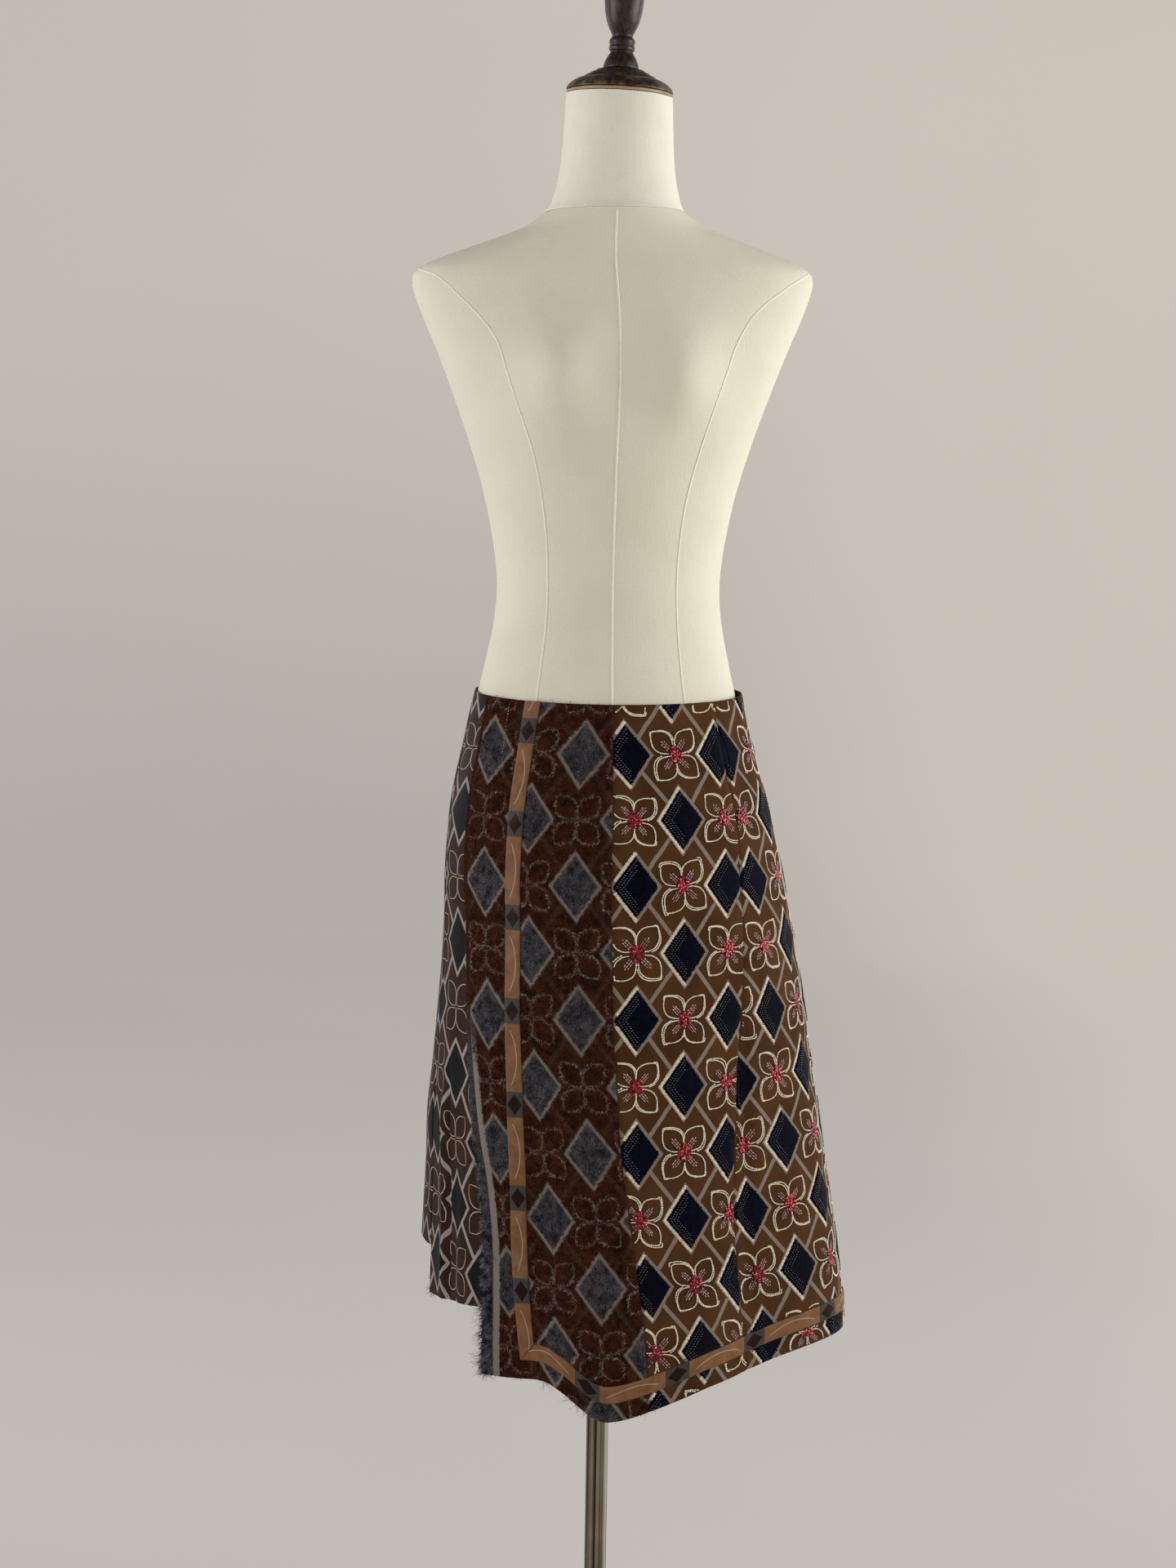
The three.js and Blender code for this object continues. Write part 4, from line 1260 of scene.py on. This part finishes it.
strayHairs("hemHairs", [
    (-43, 334, -0.7, 11, 26), (-40, 334, -0.2, 8, 12), (-22, 334, 0.0, 9, 10), (-20, 332, -0.3, 13, 9),
    (-11, 316, -0.5, 12, 12), (-8, 310, -0.2, 10, 8), (8, 308, 0.3, 8, 6), (-30, 334, 0, 6, 8),
], "brownFibre", "lapPanel")
strayHairs("edgeHairs", [
    (-43.6, 345, -1.2, 12, 40), (-43.5, 370, -1.3, 12, 40), (-43.3, 392, -1.4, 13, 40), (-43.6, 420, -1.0, 9, 16),
    (-44.4, 470, -1.0, 10, 14), (-47, 530, -0.8, 9, 10), (-52, 600, -0.6, 8, 10), (-57, 680, -0.5, 8, 8),
], "greyFibre", "pileEdge")
strayHairs("waistHairs", [
    (-33, 970, -0.1, 5, 10), (-27, 970, 0.1, 6, 16), (-20, 970, 0.3, 5, 10), (-58, 972, -0.2, 5, 10),
    (-8, 970, 0, 4, 8),
], "greyFibre", "lapPanel", 1.0)
strayHairs("cornerThreads", [(-82.5, 384, -0.3, 9, 16), (-79, 384, 0.1, 6, 8)], "brownFibre", "underPanel")
print("pile and fur grown")

# the dress form

form = {
    "shift": -2.8,
    "climb": 0.018,
    "bust": {"across": 60, "height": 1284, "spread": 36, "rise": 44, "depth": 19},
    # height, half width, depth to the front and to the back
    "sections": [
        (790, 142, 98, 118), (805, 148, 104, 126), (850, 150, 110, 130), (875, 147.6, 110.4, 127.6),
        (900, 143.6, 106.5, 122.4), (925, 138.2, 101.6, 115.1), (950, 132.8, 96.4, 106.6), (975, 126, 92.2, 98.4),
        (1000, 120, 88, 92), (1045, 111, 84, 85), (1080, 108.5, 82, 83), (1117, 112, 83, 84),
        (1165, 121.5, 87, 87), (1213, 135.5, 90, 91), (1260, 152, 92, 94), (1307, 170, 91, 95),
        (1340, 184, 86, 94), (1362, 192, 80, 91), (1376, 194.5, 76, 87), (1386, 188.5, 73, 83),
        (1396, 168, 70, 79), (1410, 130, 67, 75), (1425, 90, 65, 70), (1441, 66.5, 62, 65),
    ],
    # height, half width, front, back and shift
    "neck": [
        (1441.3, 66.5, 62, 65, -2.8), (1450, 62.5, 58, 60, -1.8), (1472, 57, 54, 54, -1.2),
        (1500, 54, 52, 52, -0.6), (1551, 51.4, 50.8, 50.8, 0),
    ],
    "lean": 2.0,
}
formHalf, formFront, formBack = (columnCurve(form["sections"], i) for i in (1, 2, 3))
neckHalf, neckFront, neckBack, neckShift = (columnCurve(form["neck"], i) for i in (1, 2, 3, 4))


def torsoPoint(angle, z):
    sin, cos = np.sin(np.radians(angle)), np.cos(np.radians(angle))
    x = formHalf(z) * sin
    depth = np.where(cos > 0, formFront(z), formBack(z)) * cos
    bust = form["bust"]
    rise = ((z - bust["height"]) / bust["rise"]) ** 2
    chest = sum(np.exp(-(((x + side * bust["across"]) / bust["spread"]) ** 2) - rise) for side in (-1, 1))
    chest = np.where(cos > 0, chest * bust["depth"] * np.minimum(1, 3 * cos), 0)
    climb = x * form["climb"] * ease(z, bust["height"], 1441)
    return np.stack(np.broadcast_arrays(form["shift"] + x, -depth - chest, z + climb), -1)


def neckPoint(angle, z):
    sin, cos = np.sin(np.radians(angle)), np.cos(np.radians(angle))
    x = neckHalf(z) * sin
    depth = np.where(cos > 0, neckFront(z), neckBack(z)) * cos
    slope = form["climb"] * (1 - ease(z, 1441, 1525)) - math.tan(math.radians(form["lean"])) * ease(z, 1525, 1551)
    return np.stack(np.broadcast_arrays(neckShift(z) + x, -depth, z + x * slope), -1)


def tube(name, node, point, heights, columns, finishName):
    # rings of a form, closed at both ends
    angles = np.arange(columns) * 360 / columns
    rings = point(angles[None, :], np.asarray(heights, float)[:, None])
    vertices = np.concatenate([rings.reshape(-1, 3), rings[[0, -1]].mean(1)])
    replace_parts(addPiece(name, vertices, ringFaces(len(heights), columns), finishName), node)


tube("formBody", "form_torso", torsoPoint, np.linspace(790, 1441, 218), 168, "canvas")
tube("formNeck", "form_neck", neckPoint, np.linspace(1441.3, 1551, 44), 96, "neckCanvas")

# the form's own seams, as slim ridges

formSeams = {
    "thread": {"Radius": 1.25 * mm, "Sides": 8},
    "sunk": 0.55,
    "neckRing": 0.5,
}
seamLines = [
    # angle and height down each line: the front, its left and right, the back's left, right and middle, the sides
    [(-2.4, 1440), (-0.6, 1357), (0, 1284), (-0.8, 1188), (-1.4, 1112), (-1.4, 1050), (-1, 960)],
    [(-88, 1386), (-71, 1381), (-62, 1376), (-54, 1360), (-45.8, 1334), (-42, 1312), (-41.2, 1283),
     (-39.6, 1248), (-36.9, 1210), (-35.8, 1172), (-35.4, 1130), (-36, 1087), (-35.8, 1040), (-35.5, 960)],
    [(83, 1384), (66, 1376), (54.5, 1362), (45.4, 1342), (41, 1314), (39.8, 1287), (37.6, 1244),
     (35.6, 1206), (33.6, 1166), (33, 1120), (33.4, 1073), (33, 1026), (32.5, 960)],
    [(-124, 1392), (-136, 1360), (-144, 1300), (-148, 1230), (-149, 1150), (-149, 1060), (-148, 960)],
    [(124, 1392), (136, 1360), (144, 1300), (148, 1230), (149, 1150), (149, 1060), (148, 960)],
    [(180, 1436), (180, 1300), (180, 1150), (180, 960)],
    [(-92, 1372), (-92, 1290), (-91, 1180), (-90, 1060), (-90, 960)],
    [(92, 1372), (92, 1290), (91, 1180), (90, 1060), (90, 960)],
]
seamPoints, seamEdges, begin = [], [], 0
for line in seamLines:
    rise = np.array(line[::-1], float)
    z = np.arange(rise[0, 1], rise[-1, 1], 2.5)
    angle = smoothCurve([(h, a) for a, h in rise])(z)
    ahead = torsoPoint(angle + 0.5, z) - torsoPoint(angle - 0.5, z)
    out = unit(np.cross(ahead, torsoPoint(angle, z + 1) - torsoPoint(angle, z - 1)))
    seamPoints.append(torsoPoint(angle, z) - out * formSeams["sunk"])
    seamEdges += [(begin + k, begin + k + 1) for k in range(len(z) - 1)]
    begin += len(z)
around = np.arange(-180, 180, 3.0)
seamPoints = np.concatenate([*seamPoints, neckPoint(around, np.full(len(around), 1441.8))])
seamEdges += [(begin + k, begin + (k + 1) % len(around)) for k in range(len(around))]
seamThick = np.ones(len(seamPoints))
seamThick[begin:] = formSeams["neckRing"]  # only a low ridge where the neck is sewn on
grow("formSeams", seamPoints, seamEdges, {"thick": seamThick}, threadTree, formSeams["thread"], "seamTape")


def lathe(name, node, outline, segments, finishName, place=Matrix.Identity(4), detail=3):
    # a turned piece from its outline of (radius, height), from the axis round to the axis
    outline = np.array(outline, float)
    fine = [a + (b - a) * k / detail for a, b in zip(outline[:-1], outline[1:]) for k in range(1, detail + 1)]
    fine = np.array([outline[0], *fine])
    for _ in range(2):  # eases the corners a little
        fine[1:-1] = (fine[:-2] + 2 * fine[1:-1] + fine[2:]) / 4
    turn = np.arange(segments) * 2 * np.pi / segments
    rings = [np.stack([r * np.cos(turn), r * np.sin(turn), np.full(segments, h)], -1) for r, h in fine[1:-1]]
    turned = np.array(place)
    vertices = np.concatenate([*rings, [[0, 0, fine[0, 1]], [0, 0, fine[-1, 1]]]]) @ turned[:3, :3].T + turned[:3, 3]
    piece = addPiece(name, vertices, ringFaces(len(rings), segments), finishName, sharp=50)
    if node:
        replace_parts(piece, node)


stand = {
    "capTop": 25,
    "cap": [
        (0, 3.2), (50.4, 3.2), (52, 4.5), (50.6, 7.6), (47, 11.2), (41.6, 14.6), (36.4, 16.2), (35.4, 15.9),
        (34.2, 18.4), (31, 19.4), (30, 19.0), (28.8, 21.4), (25.8, 22.2), (24.8, 21.9), (23.6, 24.2), (20, 25), (0, 25),
    ],
    "capEdge": [(0, 0), (50.6, 0), (51.2, 0.6), (51.6, 3), (50, 3.6), (0, 3.6)],
    "finial": [
        (0, 0), (17.3, 0), (17.2, 2), (16, 6.5), (13.8, 11.2), (10.6, 16.2), (12.4, 18), (12.6, 20.6),
        (11.6, 22.6), (12.6, 25), (12.2, 28), (9.4, 31), (12.4, 36.8), (15.6, 44), (17.7, 53), (18.7, 62),
        (19, 68.6), (20.4, 69.6), (20.4, 71.8), (17, 74.5), (12, 76.5), (10, 79), (12.5, 84), (11.5, 90),
        (7, 94.5), (0, 96),
    ],
    "base": [
        (0, 0), (167, 0), (170, 2), (170, 10), (167, 14), (90, 15.5), (30, 17.6), (22, 20), (20, 31), (17, 34), (0, 34),
    ],
    "pole": [(0, 34.3), (11, 34.3), (11, 300), (11, 560), (11, 763.7), (0, 763.7)],
    "flange": [(0, 764), (16, 764), (16, 784), (42, 785), (42, 789.7), (0, 789.7)],
}
leaning = Matrix.Translation((0, 0, 1551.3)) @ Matrix.Rotation(math.radians(form["lean"]), 4, "Y")
lathe("neckCap", "neck_cap", stand["cap"], 96, "wood", leaning)
lathe("capEdge", None, stand["capEdge"], 96, "bareWood", leaning)
lathe("finial", "finial", stand["finial"], 72, "wood",
      leaning @ Matrix.Translation((0, 0, stand["capTop"] + 0.3)), 5)
lathe("base", "base", stand["base"], 128, "baseSteel")
lathe("pole", "pole", stand["pole"], 64, "steel", detail=8)
lathe("poleFlange", "pole_flange", stand["flange"], 64, "steel")
print("dress form made")

# the size and area of each cloth, printed

for name, panel in panels.items():
    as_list(panel["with"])
    print(name, "cut", [round(v, 3) for v in panel["flat"]], "area", round(panel["area"], 4))
print("bands cut", round(lapBandLong, 3), round(hemBandLong, 3))

# floor and wall, in one round sweep

plan = studio["round"]
radius, segments = plan["wall"] - plan["floor"], plan["segments"]
bends = [math.pi / 2 * i / plan["steps"] for i in range(plan["steps"] + 1)]
profile = [(0.6, 0), (2.4, 0)]
profile += [(plan["floor"] + radius * math.sin(bend), radius * (1 - math.cos(bend))) for bend in bends]
profile += [(plan["wall"], plan["height"])]
turns = np.arange(segments) * 2 * np.pi / segments
corners = [(r * math.cos(turn), r * math.sin(turn), z) for r, z in profile for turn in turns]
faces = [tuple(range(segments))]
for j in range(0, (len(profile) - 1) * segments, segments):
    for a, b in ((a, (a + 1) % segments) for a in range(segments)):
        faces.append((j + a, j + a + segments, j + b + segments, j + b))
roundMesh = bpy.data.meshes.new("backdrop")
roundMesh.from_pydata(corners, [], faces)
roundMesh.polygons.foreach_set("use_smooth", [True] * len(faces))
roundMesh.materials.append(finishes["wall"])
backdrop = linked("backdrop", roundMesh)
